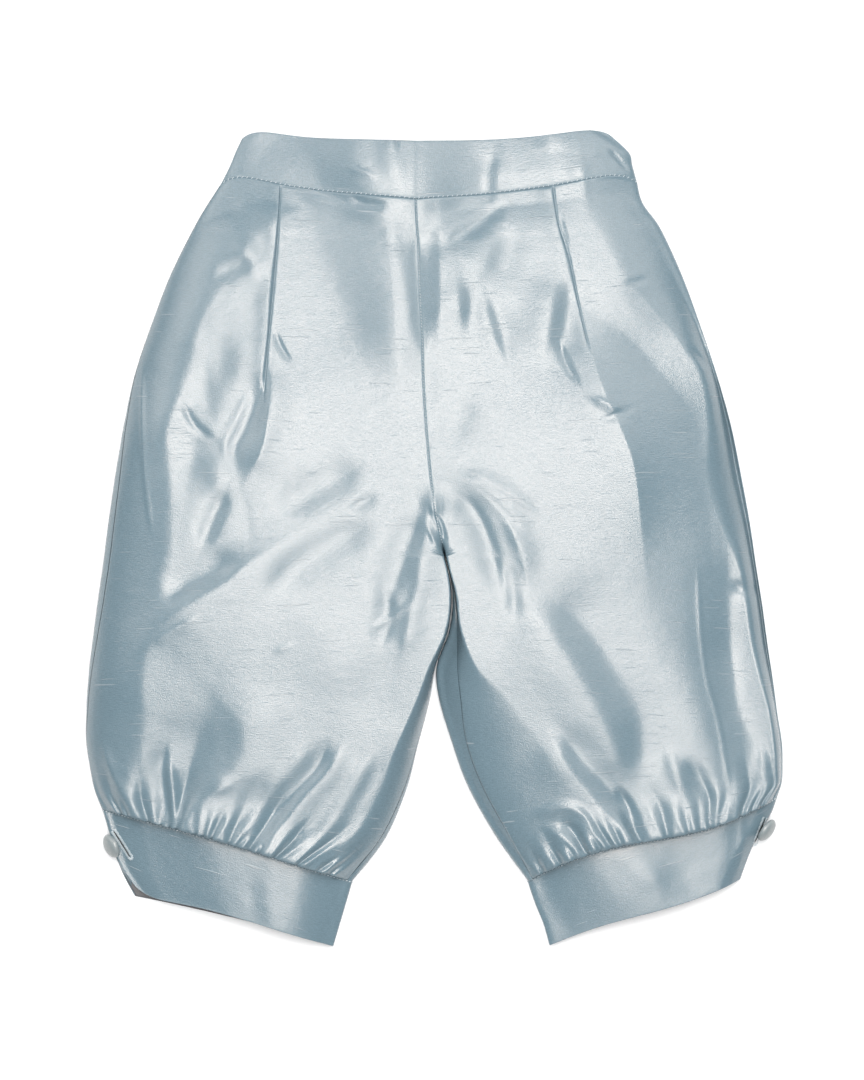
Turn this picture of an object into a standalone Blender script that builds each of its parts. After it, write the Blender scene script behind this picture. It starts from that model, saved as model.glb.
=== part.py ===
"""A child's knee breeches in silk dupion, laid flat on their back with the front up.

Two fronts and two backs make the legs, a waistband closes the top and a buttoned cuff
closes each knee. The garment lies on z = 0 with +Y towards the waist and +X towards the
wearer's left leg. Every cloth piece is a thin wall around the hollow that the body fills.
"""

import math
from collections import namedtuple

import bmesh
import bpy
import numpy as np
from mathutils import Vector

MM = 0.001

# Driving dimensions, in millimetres.
CLOTH = 1.0
BAND_CLOTH = 1.3
SEAM_GAP = 0.3
LEG_GAP = 0.6
CUFF_LOFT = 11.0
CUFF_CROWN = 0.22
EDGE_ROLL = 4.0
WAIST_LOFT = 12.5
WAIST_CROWN = 0.3
WAIST_SHOULDER = 5.4
SHOULDER_REACH = 0.12
BUTTON_DIAMETER = 16.0
BUTTON_THICKNESS = 5.5
BUTTON_RIM = 1.4
WAIST_FADE = 0.6
CUFF_FADE = 0.8
LIP_RISE = 0.3
CROTCH_RISE_RUN = 9.0
DROP_REACH = 0.05

# Where the points lie: steps from a seam, rows from the waist, and columns between seams.
SEAM_STEPS = (0.0, 1.2, 3.0, 6.0)
ROW_STEP = 0.75
LAST_WIDE_ROW = 13.5
FRONT_NEAR_CUFF = (14.2, 14.9, 15.5, 16.0, 16.35, 16.7, 17.0)
BACK_NEAR_CUFF = (14.25, 15.0, 15.6, 16.1, 16.6, 17.0)
BACK_COLUMNS = 9
TURN_COLUMNS = 6
TURN_RUN = 7.0
CUFF_COLUMNS = (0.12, 0.22, 0.32, 0.42, 0.5, 0.58, 0.68, 0.78, 0.88)
CURVE_STEPS = 160
ROLL_STEPS = 8
PROBE = 0.2
GATHER_LAP = 4.0

# One row for each section of a leg, from the waist seam to the cuff seam, as the outer
# and inner end of the section on the floor. side_seam is how far the side seam lies onto
# the front, and inseam how far the inseam does, less than 0 meaning the front stops short.
# shelf is the width of the low strip of back panel that shows past the front's inseam.
LegRow = namedtuple("LegRow", "outer_x outer_y inner_x inner_y side_seam inseam shelf")
RIGHT_LEG = [
    LegRow(-136.5, 227.0, -11.5, 216.5, 0.0, 0.0, 0.0),
    LegRow(-146.5, 211.5, -11.0, 202.0, 0.0, 0.0, 0.0),
    LegRow(-155.0, 196.5, -10.0, 187.0, 0.0, 0.0, 0.0),
    LegRow(-169.0, 168.0, -9.0, 158.0, 0.0, 0.0, 0.0),
    LegRow(-181.0, 136.5, -7.5, 126.0, 0.0, 0.0, 0.0),
    LegRow(-191.5, 105.0, -6.5, 94.0, 1.0, 0.0, 0.0),
    LegRow(-198.5, 73.0, -4.5, 64.5, 4.0, 0.0, 0.0),
    LegRow(-204.0, 41.0, -2.0, 38.0, 6.5, 0.0, 0.0),
    LegRow(-208.5, 11.0, 1.5, 14.0, 7.5, 0.0, 0.0),
    LegRow(-212.0, -16.5, 7.0, -11.0, 7.5, 0.0, 0.0),
    LegRow(-215.5, -42.0, 11.5, -34.0, 7.0, 0.0, 0.0),
    LegRow(-219.0, -68.0, 9.5, -58.0, 6.0, 0.0, 0.0),
    LegRow(-221.5, -91.5, 1.5, -80.5, 4.0, 0.0, 0.0),
    LegRow(-222.5, -112.5, -2.5, -103.0, 2.0, -1.0, 0.0),
    LegRow(-222.5, -130.0, -10.0, -132.0, 0.0, -3.0, 0.0),
    LegRow(-220.0, -147.0, -20.0, -160.5, 0.0, -5.0, 0.0),
    LegRow(-217.0, -161.0, -33.5, -192.0, 0.0, -6.0, 0.0),
    LegRow(-212.0, -173.5, -52.5, -219.5, 0.0, -4.0, 0.0),
]
LEFT_LEG = [
    LegRow(130.0, 228.0, -11.5, 216.5, -2.0, 0.0, 0.0),
    LegRow(133.5, 215.0, -11.0, 202.0, -2.0, 0.0, 0.0),
    LegRow(145.0, 198.5, -10.0, 187.0, -2.0, 0.0, 0.0),
    LegRow(159.0, 168.0, -9.0, 158.0, -2.0, 0.0, 0.0),
    LegRow(170.5, 136.5, -7.5, 126.0, -2.0, 0.0, 0.0),
    LegRow(181.0, 105.0, -6.5, 94.0, -2.0, 0.0, 0.0),
    LegRow(190.0, 73.0, -4.5, 64.5, -2.0, 0.0, 0.0),
    LegRow(196.5, 41.0, -2.0, 38.0, -2.0, 0.0, 0.0),
    LegRow(202.0, 11.0, 1.5, 14.0, -2.0, 0.0, 0.0),
    LegRow(206.0, -16.5, 7.0, -11.0, -2.0, 0.0, 0.0),
    LegRow(210.0, -42.0, 11.5, -34.0, -2.0, 0.0, 1.0),
    LegRow(213.5, -68.0, 9.5, -58.0, -2.0, 0.0, 5.0),
    LegRow(217.0, -91.5, 1.5, -80.5, -2.0, 0.0, 13.0),
    LegRow(219.5, -110.5, 2.5, -101.0, -2.0, 0.0, 14.0),
    LegRow(222.5, -130.0, 10.5, -128.5, -2.0, 0.0, 9.5),
    LegRow(223.0, -144.5, 21.0, -157.5, -2.0, 0.0, 9.0),
    LegRow(222.5, -155.5, 38.5, -189.0, -2.0, 0.0, 8.0),
    LegRow(219.5, -165.0, 60.0, -219.0, -2.0, 0.0, 3.0),
]
CROTCH_ROW = 9
CUFF_ROW = len(RIGHT_LEG) - 1

# How the hollow leg stands above the floor at the same rows: its height, how much of its
# half width the height takes to rise, the radius of its outer fold, and the height and
# radius of its inner end. Above the crotch the inner end is the open centre front.
Lift = namedtuple("Lift", "loft crown roll inner_z inner_roll")
LIFTS = [
    Lift(WAIST_LOFT, WAIST_CROWN, EDGE_ROLL, WAIST_LOFT - 1.0, 0.0),
    Lift(15.5, 0.42, EDGE_ROLL, 13.0, 0.0),
    Lift(18.0, 0.56, EDGE_ROLL, 14.5, 0.0),
    Lift(21.0, 0.75, EDGE_ROLL, 16.5, 0.0),
    Lift(23.5, 0.9, EDGE_ROLL, 17.5, 0.0),
    Lift(25.0, 1.0, EDGE_ROLL, 18.0, 0.0),
    Lift(26.0, 1.0, EDGE_ROLL, 18.0, 0.0),
    Lift(26.5, 1.0, EDGE_ROLL, 16.5, 0.0),
    Lift(27.0, 1.0, EDGE_ROLL, 12.5, 0.0),
    Lift(27.0, 1.0, EDGE_ROLL, EDGE_ROLL, EDGE_ROLL),
    Lift(27.0, 1.0, EDGE_ROLL, EDGE_ROLL, EDGE_ROLL),
    Lift(27.0, 1.0, EDGE_ROLL, EDGE_ROLL, EDGE_ROLL),
    Lift(27.0, 1.0, EDGE_ROLL, EDGE_ROLL, EDGE_ROLL),
    Lift(26.5, 1.0, EDGE_ROLL, EDGE_ROLL, EDGE_ROLL),
    Lift(26.0, 0.95, EDGE_ROLL, EDGE_ROLL, EDGE_ROLL),
    Lift(24.0, 0.85, EDGE_ROLL, EDGE_ROLL, EDGE_ROLL),
    Lift(20.0, 0.65, EDGE_ROLL, EDGE_ROLL, EDGE_ROLL),
    Lift(CUFF_LOFT, CUFF_CROWN, EDGE_ROLL, EDGE_ROLL, EDGE_ROLL),
]

# The waistband, from its seam with the legs to its open edge.
BandRow = namedtuple("BandRow", "right_x right_y centre_x centre_y left_x left_y shoulder")
WAISTBAND = [
    BandRow(-136.5, 227.0, -11.5, 216.5, 130.0, 228.0, WAIST_SHOULDER),
    BandRow(-131.0, 238.0, -11.5, 229.0, 127.0, 239.0, 4.5),
    BandRow(-127.0, 247.5, -11.5, 242.0, 125.0, 247.0, 4.5),
    BandRow(-123.0, 256.0, -11.5, 253.5, 114.5, 257.0, 4.5),
]

# The cuffs, from the gathered seam to the hem. shoulder, less than 0, bends the front down
# near its outer end, and drop is how far the back layer hangs down there.
CuffRow = namedtuple("CuffRow", "outer_x outer_y inner_x inner_y loft shoulder drop")
RIGHT_CUFF = [
    CuffRow(-212.0, -173.5, -52.5, -219.5, CUFF_LOFT, 0.0, 0.0),
    CuffRow(-208.0, -187.5, -56.5, -233.5, 10.5, -2.0, 2.5),
    CuffRow(-204.0, -203.0, -60.5, -247.0, 10.0, -4.5, 6.0),
    CuffRow(-195.0, -217.0, -64.5, -260.5, 9.5, -7.0, 9.5),
]
LEFT_CUFF = [
    CuffRow(219.5, -165.0, 60.0, -219.0, CUFF_LOFT, 0.0, 0.0),
    CuffRow(215.5, -176.0, 64.5, -232.5, 10.5, 0.0, 0.3),
    CuffRow(204.0, -196.5, 70.0, -246.0, 10.0, 0.0, 0.6),
    CuffRow(196.0, -217.5, 74.0, -260.0, 9.5, 0.0, 1.0),
]

# How the cuff seam bends between its ends: down the leg at its middle, and first down and
# then up from the outer end. The hem keeps a share of the bend.
CUFF_BOW = {"right": -2.5, "left": 0.0}
CUFF_SWAY = {"right": 0.0, "left": 4.5}
HEM_BEND = {"right": 0.0, "left": 0.6}

# The gathers that the cuff holds in, as places along its seam from the outer end, how
# deep each trough is at the seam and how far up the leg it reaches.
Gather = namedtuple("Gather", "place depth reach")
GATHERS = {
    "right": [
        Gather(0.07, 2.2, 26.0),
        Gather(0.13, 2.6, 18.0),
        Gather(0.21, 2.4, 34.0),
        Gather(0.31, 3.0, 60.0),
        Gather(0.38, 2.0, 20.0),
        Gather(0.45, 2.6, 24.0),
        Gather(0.52, 3.0, 42.0),
        Gather(0.60, 2.4, 22.0),
        Gather(0.67, 2.8, 48.0),
        Gather(0.74, 2.2, 26.0),
        Gather(0.81, 2.6, 38.0),
        Gather(0.88, 2.0, 24.0),
        Gather(0.94, 1.8, 20.0),
    ],
    "left": [
        Gather(0.06, 2.4, 30.0),
        Gather(0.12, 2.2, 20.0),
        Gather(0.19, 2.6, 44.0),
        Gather(0.27, 2.2, 22.0),
        Gather(0.34, 2.8, 36.0),
        Gather(0.41, 2.4, 24.0),
        Gather(0.49, 2.8, 50.0),
        Gather(0.56, 2.2, 26.0),
        Gather(0.64, 3.0, 58.0),
        Gather(0.71, 2.4, 28.0),
        Gather(0.79, 3.0, 44.0),
        Gather(0.86, 2.4, 24.0),
        Gather(0.93, 2.0, 20.0),
    ],
}

# The largest folds of the fronts: a straight run on the floor plan, its half width, and
# its height, less than 0 for a hollow.
Fold = namedtuple("Fold", "from_x from_y to_x to_y reach height")
FOLDS = [
    Fold(-98.0, 222.0, -107.0, 92.0, 5.0, -1.6),
    Fold(75.5, 224.0, 96.0, 130.0, 5.0, -1.6),
    Fold(-111.0, 100.0, -119.0, 48.0, 9.0, -3.5),
    Fold(96.0, 130.0, 116.0, 84.0, 7.0, 2.5),
    Fold(124.0, 116.0, 142.0, 74.0, 14.0, -4.0),
    Fold(-86.0, 206.0, -38.0, 110.0, 11.0, -3.0),
    Fold(-34.0, 196.0, -29.0, 140.0, 8.0, 1.8),
    Fold(34.0, 156.0, 40.0, 112.0, 9.0, -2.2),
    Fold(2.0, 46.0, 62.0, 16.0, 8.0, 2.5),
    Fold(20.0, 24.0, 50.0, 14.0, 7.0, -2.2),
    Fold(-50.0, 44.0, -99.0, -2.0, 10.0, -2.4),
    Fold(-178.0, -39.0, -121.0, -12.0, 9.0, -2.4),
    Fold(-140.0, -112.0, -148.0, -150.0, 15.0, -3.2),
    Fold(-60.0, -130.0, -106.0, -185.0, 8.0, -2.2),
    Fold(80.0, -52.0, 111.0, -95.0, 9.0, -2.6),
    Fold(111.0, -95.0, 130.0, -130.0, 10.0, -2.6),
    Fold(78.0, -117.0, 130.0, -184.0, 9.0, -2.4),
    Fold(127.0, 150.0, 176.0, 86.0, 14.0, 2.6),
    Fold(164.0, 34.0, 178.0, -65.0, 8.0, -2.8),
    Fold(178.0, -65.0, 183.0, -140.0, 8.0, -2.8),
    Fold(-76.0, 214.0, -24.0, 208.0, 6.0, -1.8),
    Fold(-166.0, 110.0, -172.0, 10.0, 12.0, -2.0),
]
FOLD_FOOT = 6.0
FOLD_RUN = 8.0

SILK = (0.52, 0.62, 0.68)
SILK_ROUGHNESS = 0.38
SILK_METALLIC = 0.35


def smooth_row(table, place):
    """Returns the table's row at a fractional place, on a curve through its rows."""
    low = min(int(place), len(table) - 2)
    part = place - low
    before = np.array(table[max(low - 1, 0)])
    start = np.array(table[low])
    end = np.array(table[low + 1])
    after = np.array(table[min(low + 2, len(table) - 1)])
    into = (end - before) / 2
    out = (after - start) / 2
    bend = 2 * (start - end) + into + out
    lean = 3 * (end - start) - 2 * into - out
    return type(table[0])(*(((bend * part + lean) * part + into) * part + start))


def shoulder(across):
    """A bump of height 1 close to the outer end of a row."""
    return across / SHOULDER_REACH * np.exp(1 - across / SHOULDER_REACH)


def fold_height(x, y):
    """The height that the folds add at a place on the floor plan."""
    total = 0.0
    for fold in FOLDS:
        start = np.array((fold.from_x, fold.from_y))
        run = np.array((fold.to_x, fold.to_y)) - start
        along = np.clip(np.dot((x, y) - start, run) / np.dot(run, run), 0.0, 1.0)
        away = np.linalg.norm((x, y) - start - along * run)
        total += fold.height * math.exp(-((away / fold.reach) ** 2))
    return total


def gather_height(gathers, across, away):
    """The height that the gathers add, away being the distance up from the cuff."""
    places = [0.0]
    heights = [0.0]
    for number, gather in enumerate(gathers):
        fade = math.exp(-((away / gather.reach) ** 2))
        places.append(gather.place)
        heights.append(-gather.depth * fade)
        if number + 1 < len(gathers):
            places.append((gather.place + gathers[number + 1].place) / 2)
            heights.append(0.4 * gather.depth * fade)
    places.append(1.0)
    heights.append(0.0)
    slot = min(max(int(np.searchsorted(places, across, side="right")) - 1, 0), len(places) - 2)
    part = (across - places[slot]) / (places[slot + 1] - places[slot])
    ease = (1 - math.cos(math.pi * min(max(part, 0.0), 1.0))) / 2
    return heights[slot] + (heights[slot + 1] - heights[slot]) * ease


class Section:
    """The loop of cloth around one leg or band, standing on the floor plan."""

    def __init__(self, outer, inner, lift, shelf=0.0, is_open=False):
        self.outer = np.array(outer)
        self.inner = np.array(inner)
        self.width = np.linalg.norm(self.inner - self.outer)
        self.across = (self.inner - self.outer) / self.width
        turn = 1.0 if self.across[0] > 0 else -1.0
        self.down = turn * np.array((self.across[1], -self.across[0]))
        self.is_open = is_open
        dome, lip = self.front_curve(lift, shelf)
        front = np.vstack((dome, lip))
        back = self.back_curve(lift)
        front_run = lengths_along(front)
        back_run = lengths_along(back)
        self.front_length = front_run[-1]
        self.seam_length = self.front_length - shelf * math.pi / 2
        if len(lip):
            self.seam_length = front_run[len(dome) - 1]
        self.back_length = back_run[-1]
        self.run = np.concatenate((-back_run[::-1], front_run[1:]))
        self.curve = np.vstack((back[::-1], front[1:]))

    def front_curve(self, lift, shelf):
        """The dome of the front from its outer fold, and the low lip past its inner end."""
        spread = (1 - np.cos(np.linspace(0.0, math.pi, CURVE_STEPS + 1))) / 2
        reach = 0.5 * lift.crown
        rise = np.sqrt(1 - (1 - np.minimum(spread / reach, 1.0)) ** 2)
        openness = min(max((lift.inner_z - lift.inner_roll) / EDGE_ROLL, 0.0), 1.0)
        fall = (1 - (1 - np.minimum((1 - spread) / reach, 1.0)) ** 2) ** (0.5 + 0.5 * openness)
        lip = np.empty((0, 2))
        foot = lift.inner_z
        if shelf > lift.inner_roll:
            foot = 2 * lift.inner_roll + LIP_RISE * (shelf - lift.inner_roll)
            angle = np.linspace(0.0, math.pi / 2, ROLL_STEPS + 1)
            round_end = lift.inner_roll * np.column_stack((np.sin(angle) - 1, np.cos(angle) + 1))
            lip = round_end + (self.width, 0.0)
        height = lift.roll + (lift.loft - lift.roll) * rise - (lift.loft - foot) * (1 - fall)
        dome_width = self.width - shelf if len(lip) else self.width
        return np.column_stack((spread * dome_width, height)), lip

    def back_curve(self, lift):
        """The back from the outer fold along the floor to its inner end."""
        angle = np.linspace(0.0, math.pi / 2, ROLL_STEPS + 1)
        outer = lift.roll * np.column_stack((1 - np.cos(angle), 1 - np.sin(angle)))
        if self.is_open:
            rise = np.linspace(0.0, 1.0, ROLL_STEPS + 1)
            inner = np.column_stack((CROTCH_RISE_RUN * (rise - 1), lift.inner_roll * rise**2))
        else:
            inner = lift.inner_roll * np.column_stack((np.sin(angle) - 1, 1 - np.cos(angle)))
        return np.vstack((outer, inner + (self.width, 0.0)))

    def at(self, distance):
        """The place across and the height, at a distance along the loop from the outer fold."""
        if not self.is_open:
            perimeter = self.front_length + self.back_length
            distance = (distance + self.back_length) % perimeter - self.back_length
        across = np.interp(distance, self.run, self.curve[:, 0])
        return np.array((across, np.interp(distance, self.run, self.curve[:, 1])))

    def wall(self, distance, thickness, bend):
        """The outer and the inner point of the wall there, with bend giving how far down
        the leg a place across is moved."""
        spot = self.at(distance)
        run = self.at(distance + PROBE) - self.at(distance - PROBE)
        inward = np.array((run[1], -run[0])) / np.linalg.norm(run)
        points = (spot, spot + thickness * inward)
        return [self.place(*point, bend(point[0] / self.width)) for point in points]

    def place(self, across, height, down=0.0):
        """A point in space, moved down the leg by a bend of the row."""
        flat = self.outer + self.across * across + self.down * down
        return np.array((flat[0], flat[1], height))


def lengths_along(curve):
    """The distance from the start of a curve to each of its points."""
    steps = np.linalg.norm(np.diff(curve, axis=0), axis=1)
    return np.concatenate(([0.0], np.cumsum(steps)))


def leg_section(leg, place):
    """The row of a leg at a fractional place, and its loop."""
    row = smooth_row(leg, place)
    lift = smooth_row(LIFTS, place)
    is_open = place < CROTCH_ROW
    roll = max(lift.inner_roll, 0.0)
    lift = lift._replace(inner_roll=roll, inner_z=lift.inner_z if is_open else roll)
    away = -1.0 if row.outer_x < row.inner_x else 1.0
    gap = SEAM_GAP if is_open else LEG_GAP
    inner = (row.inner_x + away * gap / 2, row.inner_y)
    shelf = 0.0 if is_open else max(row.shelf, 0.0)
    return row, Section((row.outer_x, row.outer_y), inner, lift, shelf, is_open)


def row_bend(side, place, across):
    """How far down the leg a row is bent, at the waist seam and at the cuff seam."""
    waist = -WAIST_SHOULDER * shoulder(across) * math.exp(-place / WAIST_FADE)
    cuff = cuff_bend(side, across) * math.exp(-(CUFF_ROW - place) / CUFF_FADE)
    trim = {0: SEAM_GAP / 2, CUFF_ROW: -SEAM_GAP / 2}.get(place, 0.0)
    return waist + cuff + trim


def cuff_bend(side, across):
    """How far down the leg the cuff seam is bent."""
    bow = CUFF_BOW[side] * math.sin(math.pi * across)
    return bow + CUFF_SWAY[side] * math.sin(2 * math.pi * across)


def columns_between(start, end, middle):
    """Distances along a row: close steps at both seams, and the middle's fractions between."""
    length = end - start
    near = [start + math.copysign(step, length) for step in SEAM_STEPS]
    far = [end - math.copysign(step, length) for step in reversed(SEAM_STEPS)]
    return near + [start + fraction * length for fraction in middle] + far


def halved(values):
    """The same values with one more between each two."""
    between = [(a + b) / 2 for a, b in zip(values, values[1:])]
    return [value for pair in zip(values, between) for value in pair] + values[-1:]


def front_distances(side, row, section):
    """Where a front's columns lie along its row, on the troughs and ridges of the gathers."""
    end = section.front_length
    if not section.is_open:
        end = section.seam_length - SEAM_GAP / 2 + row.inseam
    troughs = halved([gather.place for gather in GATHERS[side]])
    return columns_between(row.side_seam + SEAM_GAP / 2, end, troughs)


def back_distances(row, section):
    """Where a back's columns lie along its row, close together where its ends turn up."""
    start = row.side_seam - SEAM_GAP / 2
    turn = -section.back_length + TURN_RUN
    end = -section.back_length
    if not section.is_open:
        end += row.inseam + SEAM_GAP / 2 - (section.front_length - section.seam_length)
    near = np.linspace(start, -TURN_RUN, TURN_COLUMNS + 1)
    flat = np.linspace(-TURN_RUN, turn, BACK_COLUMNS + 1)[1:-1]
    return [*near, *flat, *np.linspace(turn, end, TURN_COLUMNS + 1)]


def front_row(side, leg, place):
    """One row of a front panel's outer and inner points."""
    row, section = leg_section(leg, place)
    distances = front_distances(side, row, section)
    if place > LAST_WIDE_ROW:
        distances = halved(distances)
    start, end = distances[0], distances[-1]
    cuff = leg_section(leg, CUFF_ROW)[1]
    pairs = []
    for distance in distances:
        pair = section.wall(distance, CLOTH, lambda across: row_bend(side, place, across))
        outer = pair[0]
        column = (distance - start) / (end - start)
        on_crown = min(max((outer[2] - FOLD_FOOT) / FOLD_RUN, 0.0), 1.0)
        firm = min(max((outer[2] - EDGE_ROLL) / GATHER_LAP, 0.0), 1.0)
        away = np.dot(cuff.outer + cuff.across * column * cuff.width - outer[:2], cuff.down)
        lift = on_crown * fold_height(outer[0], outer[1])
        lift += firm * gather_height(GATHERS[side], column, max(away, 0.0))
        pairs.append([point + (0.0, 0.0, lift) for point in pair])
    return pairs


def back_row(side, leg, place):
    """One row of a back panel's outer and inner points."""
    row, section = leg_section(leg, place)
    distances = back_distances(row, section)
    return [section.wall(d, CLOTH, lambda across: row_bend(side, place, across)) for d in distances]


def leg_places(near_cuff):
    """The rows of a panel, as fractional places in the leg's table."""
    wide = np.arange(0.0, LAST_WIDE_ROW + ROW_STEP / 2, ROW_STEP)
    return list(wide) + list(near_cuff)


def fill_between(mesh, upper, lower):
    """Joins two rows of vertices, where the lower one may have twice as many steps."""
    ratio = (len(lower) - 1) // (len(upper) - 1)
    for number in range(len(upper) - 1):
        left, right = upper[number], upper[number + 1]
        below = lower[number * ratio:(number + 1) * ratio + 1]
        if ratio == 1:
            mesh.faces.new((left, below[0], below[1], right))
        else:
            mesh.faces.new((left, below[0], below[1]))
            mesh.faces.new((left, below[1], right))
            mesh.faces.new((right, below[1], below[2]))


def cloth(name, rows, collection, ring=False):
    """Makes a wall of cloth from rows of outer and inner points."""
    mesh = bmesh.new()
    layers = []
    for layer in (0, 1):
        lines = [[mesh.verts.new(Vector(pair[layer]) * MM) for pair in row] for row in rows]
        if ring:
            lines = [line + line[:1] for line in lines]
        for upper, lower in zip(lines, lines[1:]):
            fill_between(mesh, upper, lower)
        layers.append(lines)
    outer, inner = layers
    fill_between(mesh, outer[0], inner[0])
    fill_between(mesh, outer[-1], inner[-1])
    if not ring:
        fill_between(mesh, [line[0] for line in outer], [line[0] for line in inner])
        fill_between(mesh, [line[-1] for line in outer], [line[-1] for line in inner])
    bmesh.ops.recalc_face_normals(mesh, faces=mesh.faces)
    data = bpy.data.meshes.new(name)
    mesh.to_mesh(data)
    mesh.free()
    data.shade_smooth()
    data.set_sharp_from_angle(angle=math.radians(50))
    piece = bpy.data.objects.new(name, data)
    collection.objects.link(piece)
    data.materials.append(silk(name))


def silk(name):
    """A pale blue silk with a soft metallic lustre."""
    material = bpy.data.materials.new(name + "_silk")
    material.use_nodes = True
    shader = material.node_tree.nodes["Principled BSDF"]
    shader.inputs["Base Color"].default_value = (*SILK, 1.0)
    shader.inputs["Roughness"].default_value = SILK_ROUGHNESS
    shader.inputs["Metallic"].default_value = SILK_METALLIC
    return material


def leg_panels(side, leg, collection):
    """The front and the back of one leg."""
    front = [front_row(side, leg, place) for place in leg_places(FRONT_NEAR_CUFF)]
    back = [back_row(side, leg, place) for place in leg_places(BACK_NEAR_CUFF)]
    cloth("front_" + side, front, collection)
    cloth("back_" + side, back, collection)


def half_waistband(side, leg, row, trim):
    """One side of the waistband at a row, from the centre back round to the centre front."""
    lift = Lift(WAIST_LOFT, WAIST_CROWN, EDGE_ROLL, WAIST_LOFT - 1.0, 0.0)
    outer = (getattr(row, side + "_x"), getattr(row, side + "_y"))
    section = Section(outer, (row.centre_x, row.centre_y), lift, is_open=True)
    front = front_distances(side, leg[0], section)
    back = back_distances(leg[0], section)
    run = back[:0:-1] + front
    return [section.wall(d, BAND_CLOTH, lambda across: trim - row.shoulder * shoulder(across)) for d in run]


def waistband(collection):
    """The ring of cloth above the legs, open at its upper edge."""
    rows = []
    for number, row in enumerate(WAISTBAND):
        trim = -SEAM_GAP / 2 if number == 0 else 0.0
        right = half_waistband("right", RIGHT_LEG, row, trim)
        left = half_waistband("left", LEFT_LEG, row, trim)
        rows.append(right[1:] + left[-2::-1])
    cloth("waistband", rows, collection, ring=True)


def cuff(side, table, collection):
    """The buttoned band below one leg, open at its hem."""
    rows = []
    for number, row in enumerate(table):
        lift = Lift(row.loft, CUFF_CROWN, EDGE_ROLL, EDGE_ROLL, EDGE_ROLL)
        section = Section((row.outer_x, row.outer_y), (row.inner_x, row.inner_y), lift)
        trim = SEAM_GAP / 2 if number == 0 else 0.0
        share = 1.0 - (1.0 - HEM_BEND[side]) * number / (len(table) - 1)
        front = columns_between(0.0, section.front_length, CUFF_COLUMNS)[:-1]
        back = columns_between(-section.back_length, 0.0, CUFF_COLUMNS)[:-1]
        ring = []
        for distance in front + back:
            pair = section.wall(distance, BAND_CLOTH, lambda across: trim + share * cuff_bend(side, across))
            part = max(section.at(distance)[0] / section.width, 0.0)
            hang = -row.shoulder * shoulder(part)
            if distance < 0:
                hang = row.drop * min(part / DROP_REACH, 1.0) * (1 - part)
            ring.append([point - (0.0, hang, 0.0) for point in pair])
        rows.append(ring)
    cloth("cuff_" + side, rows, collection, ring=True)


# The buttons: the row of its cuff where each is sewn, how far its middle lies inside the
# cuff's outer end, and the way its face looks.
Button = namedtuple("Button", "side cuff row inside face_x face_y face_z")
BUTTONS = [
    Button("right", RIGHT_CUFF, 1.55, 1.8, -0.79, -0.36, 0.50),
    Button("left", LEFT_CUFF, 1.45, -0.6, 0.76, -0.57, 0.36),
]


def button_seat(spec):
    """Where the middle of a button's back sits, just clear of the fold of its cuff."""
    face = np.array((spec.face_x, spec.face_y, spec.face_z))
    face /= np.linalg.norm(face)
    level = np.array((face[0], face[1], 0.0)) / math.hypot(face[0], face[1])
    reaches = []
    for row in np.linspace(spec.row - 0.6, spec.row + 0.6, 7):
        place = smooth_row(spec.cuff, row)
        fold = np.array((place.outer_x, place.outer_y, EDGE_ROLL)) - EDGE_ROLL * level
        reaches.append(np.dot(fold, face) + EDGE_ROLL)
    place = smooth_row(spec.cuff, spec.row)
    seat = np.array((place.outer_x, place.outer_y, 0.0)) - spec.inside * level
    seat[2] = (max(reaches) + SEAM_GAP - np.dot(seat, face)) / face[2]
    return seat, face


def button(spec, collection):
    """A domed cloth-covered button, standing on the fold of its cuff."""
    radius = BUTTON_DIAMETER / 2
    outline = [(0.0, 0.0), (radius - 1.2, 0.0), (radius - 0.3, 0.5)]
    for angle in np.linspace(0.0, math.pi / 2, 5):
        height = BUTTON_RIM + (BUTTON_THICKNESS - BUTTON_RIM) * math.sin(angle)
        outline.append((radius * math.cos(angle), height))
    outline[-1] = (0.0, BUTTON_THICKNESS)
    data = bpy.data.meshes.new("button_" + spec.side)
    points = [Vector((x, 0.0, z)) * MM for x, z in reversed(outline)]
    data.from_pydata(points, [(n, n + 1) for n in range(len(points) - 1)], [])
    piece = bpy.data.objects.new(data.name, data)
    collection.objects.link(piece)
    turn = piece.modifiers.new("turned", "SCREW")
    turn.steps = 20
    turn.render_steps = 20
    turn.use_merge_vertices = True
    turn.merge_threshold = 0.00002
    turn.use_normal_calculate = True
    seat, face = button_seat(spec)
    piece.location = Vector(seat) * MM
    piece.rotation_mode = "QUATERNION"
    piece.rotation_quaternion = Vector(face).to_track_quat("Z", "Y")
    data.materials.append(silk(data.name))


def build():
    for leftover in list(bpy.data.objects):
        bpy.data.objects.remove(leftover)
    collection = bpy.data.collections.new("knee_breeches")
    bpy.context.scene.collection.children.link(collection)
    leg_panels("right", RIGHT_LEG, collection)
    leg_panels("left", LEFT_LEG, collection)
    waistband(collection)
    cuff("right", RIGHT_CUFF, collection)
    cuff("left", LEFT_CUFF, collection)
    for spec in BUTTONS:
        button(spec, collection)


build()
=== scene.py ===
"""The looks of a child's knee breeches in pale blue silk dupion.

The breeches lie flat on their back with the front up, +Y towards the waist and +X towards
the wearer's left leg. Each cloth piece is a thin sheet on the form of its solid, with the
creases, gathers, seams and stitches of the real garment. Lengths are in millimetres.
"""

import math
from collections import namedtuple

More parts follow.
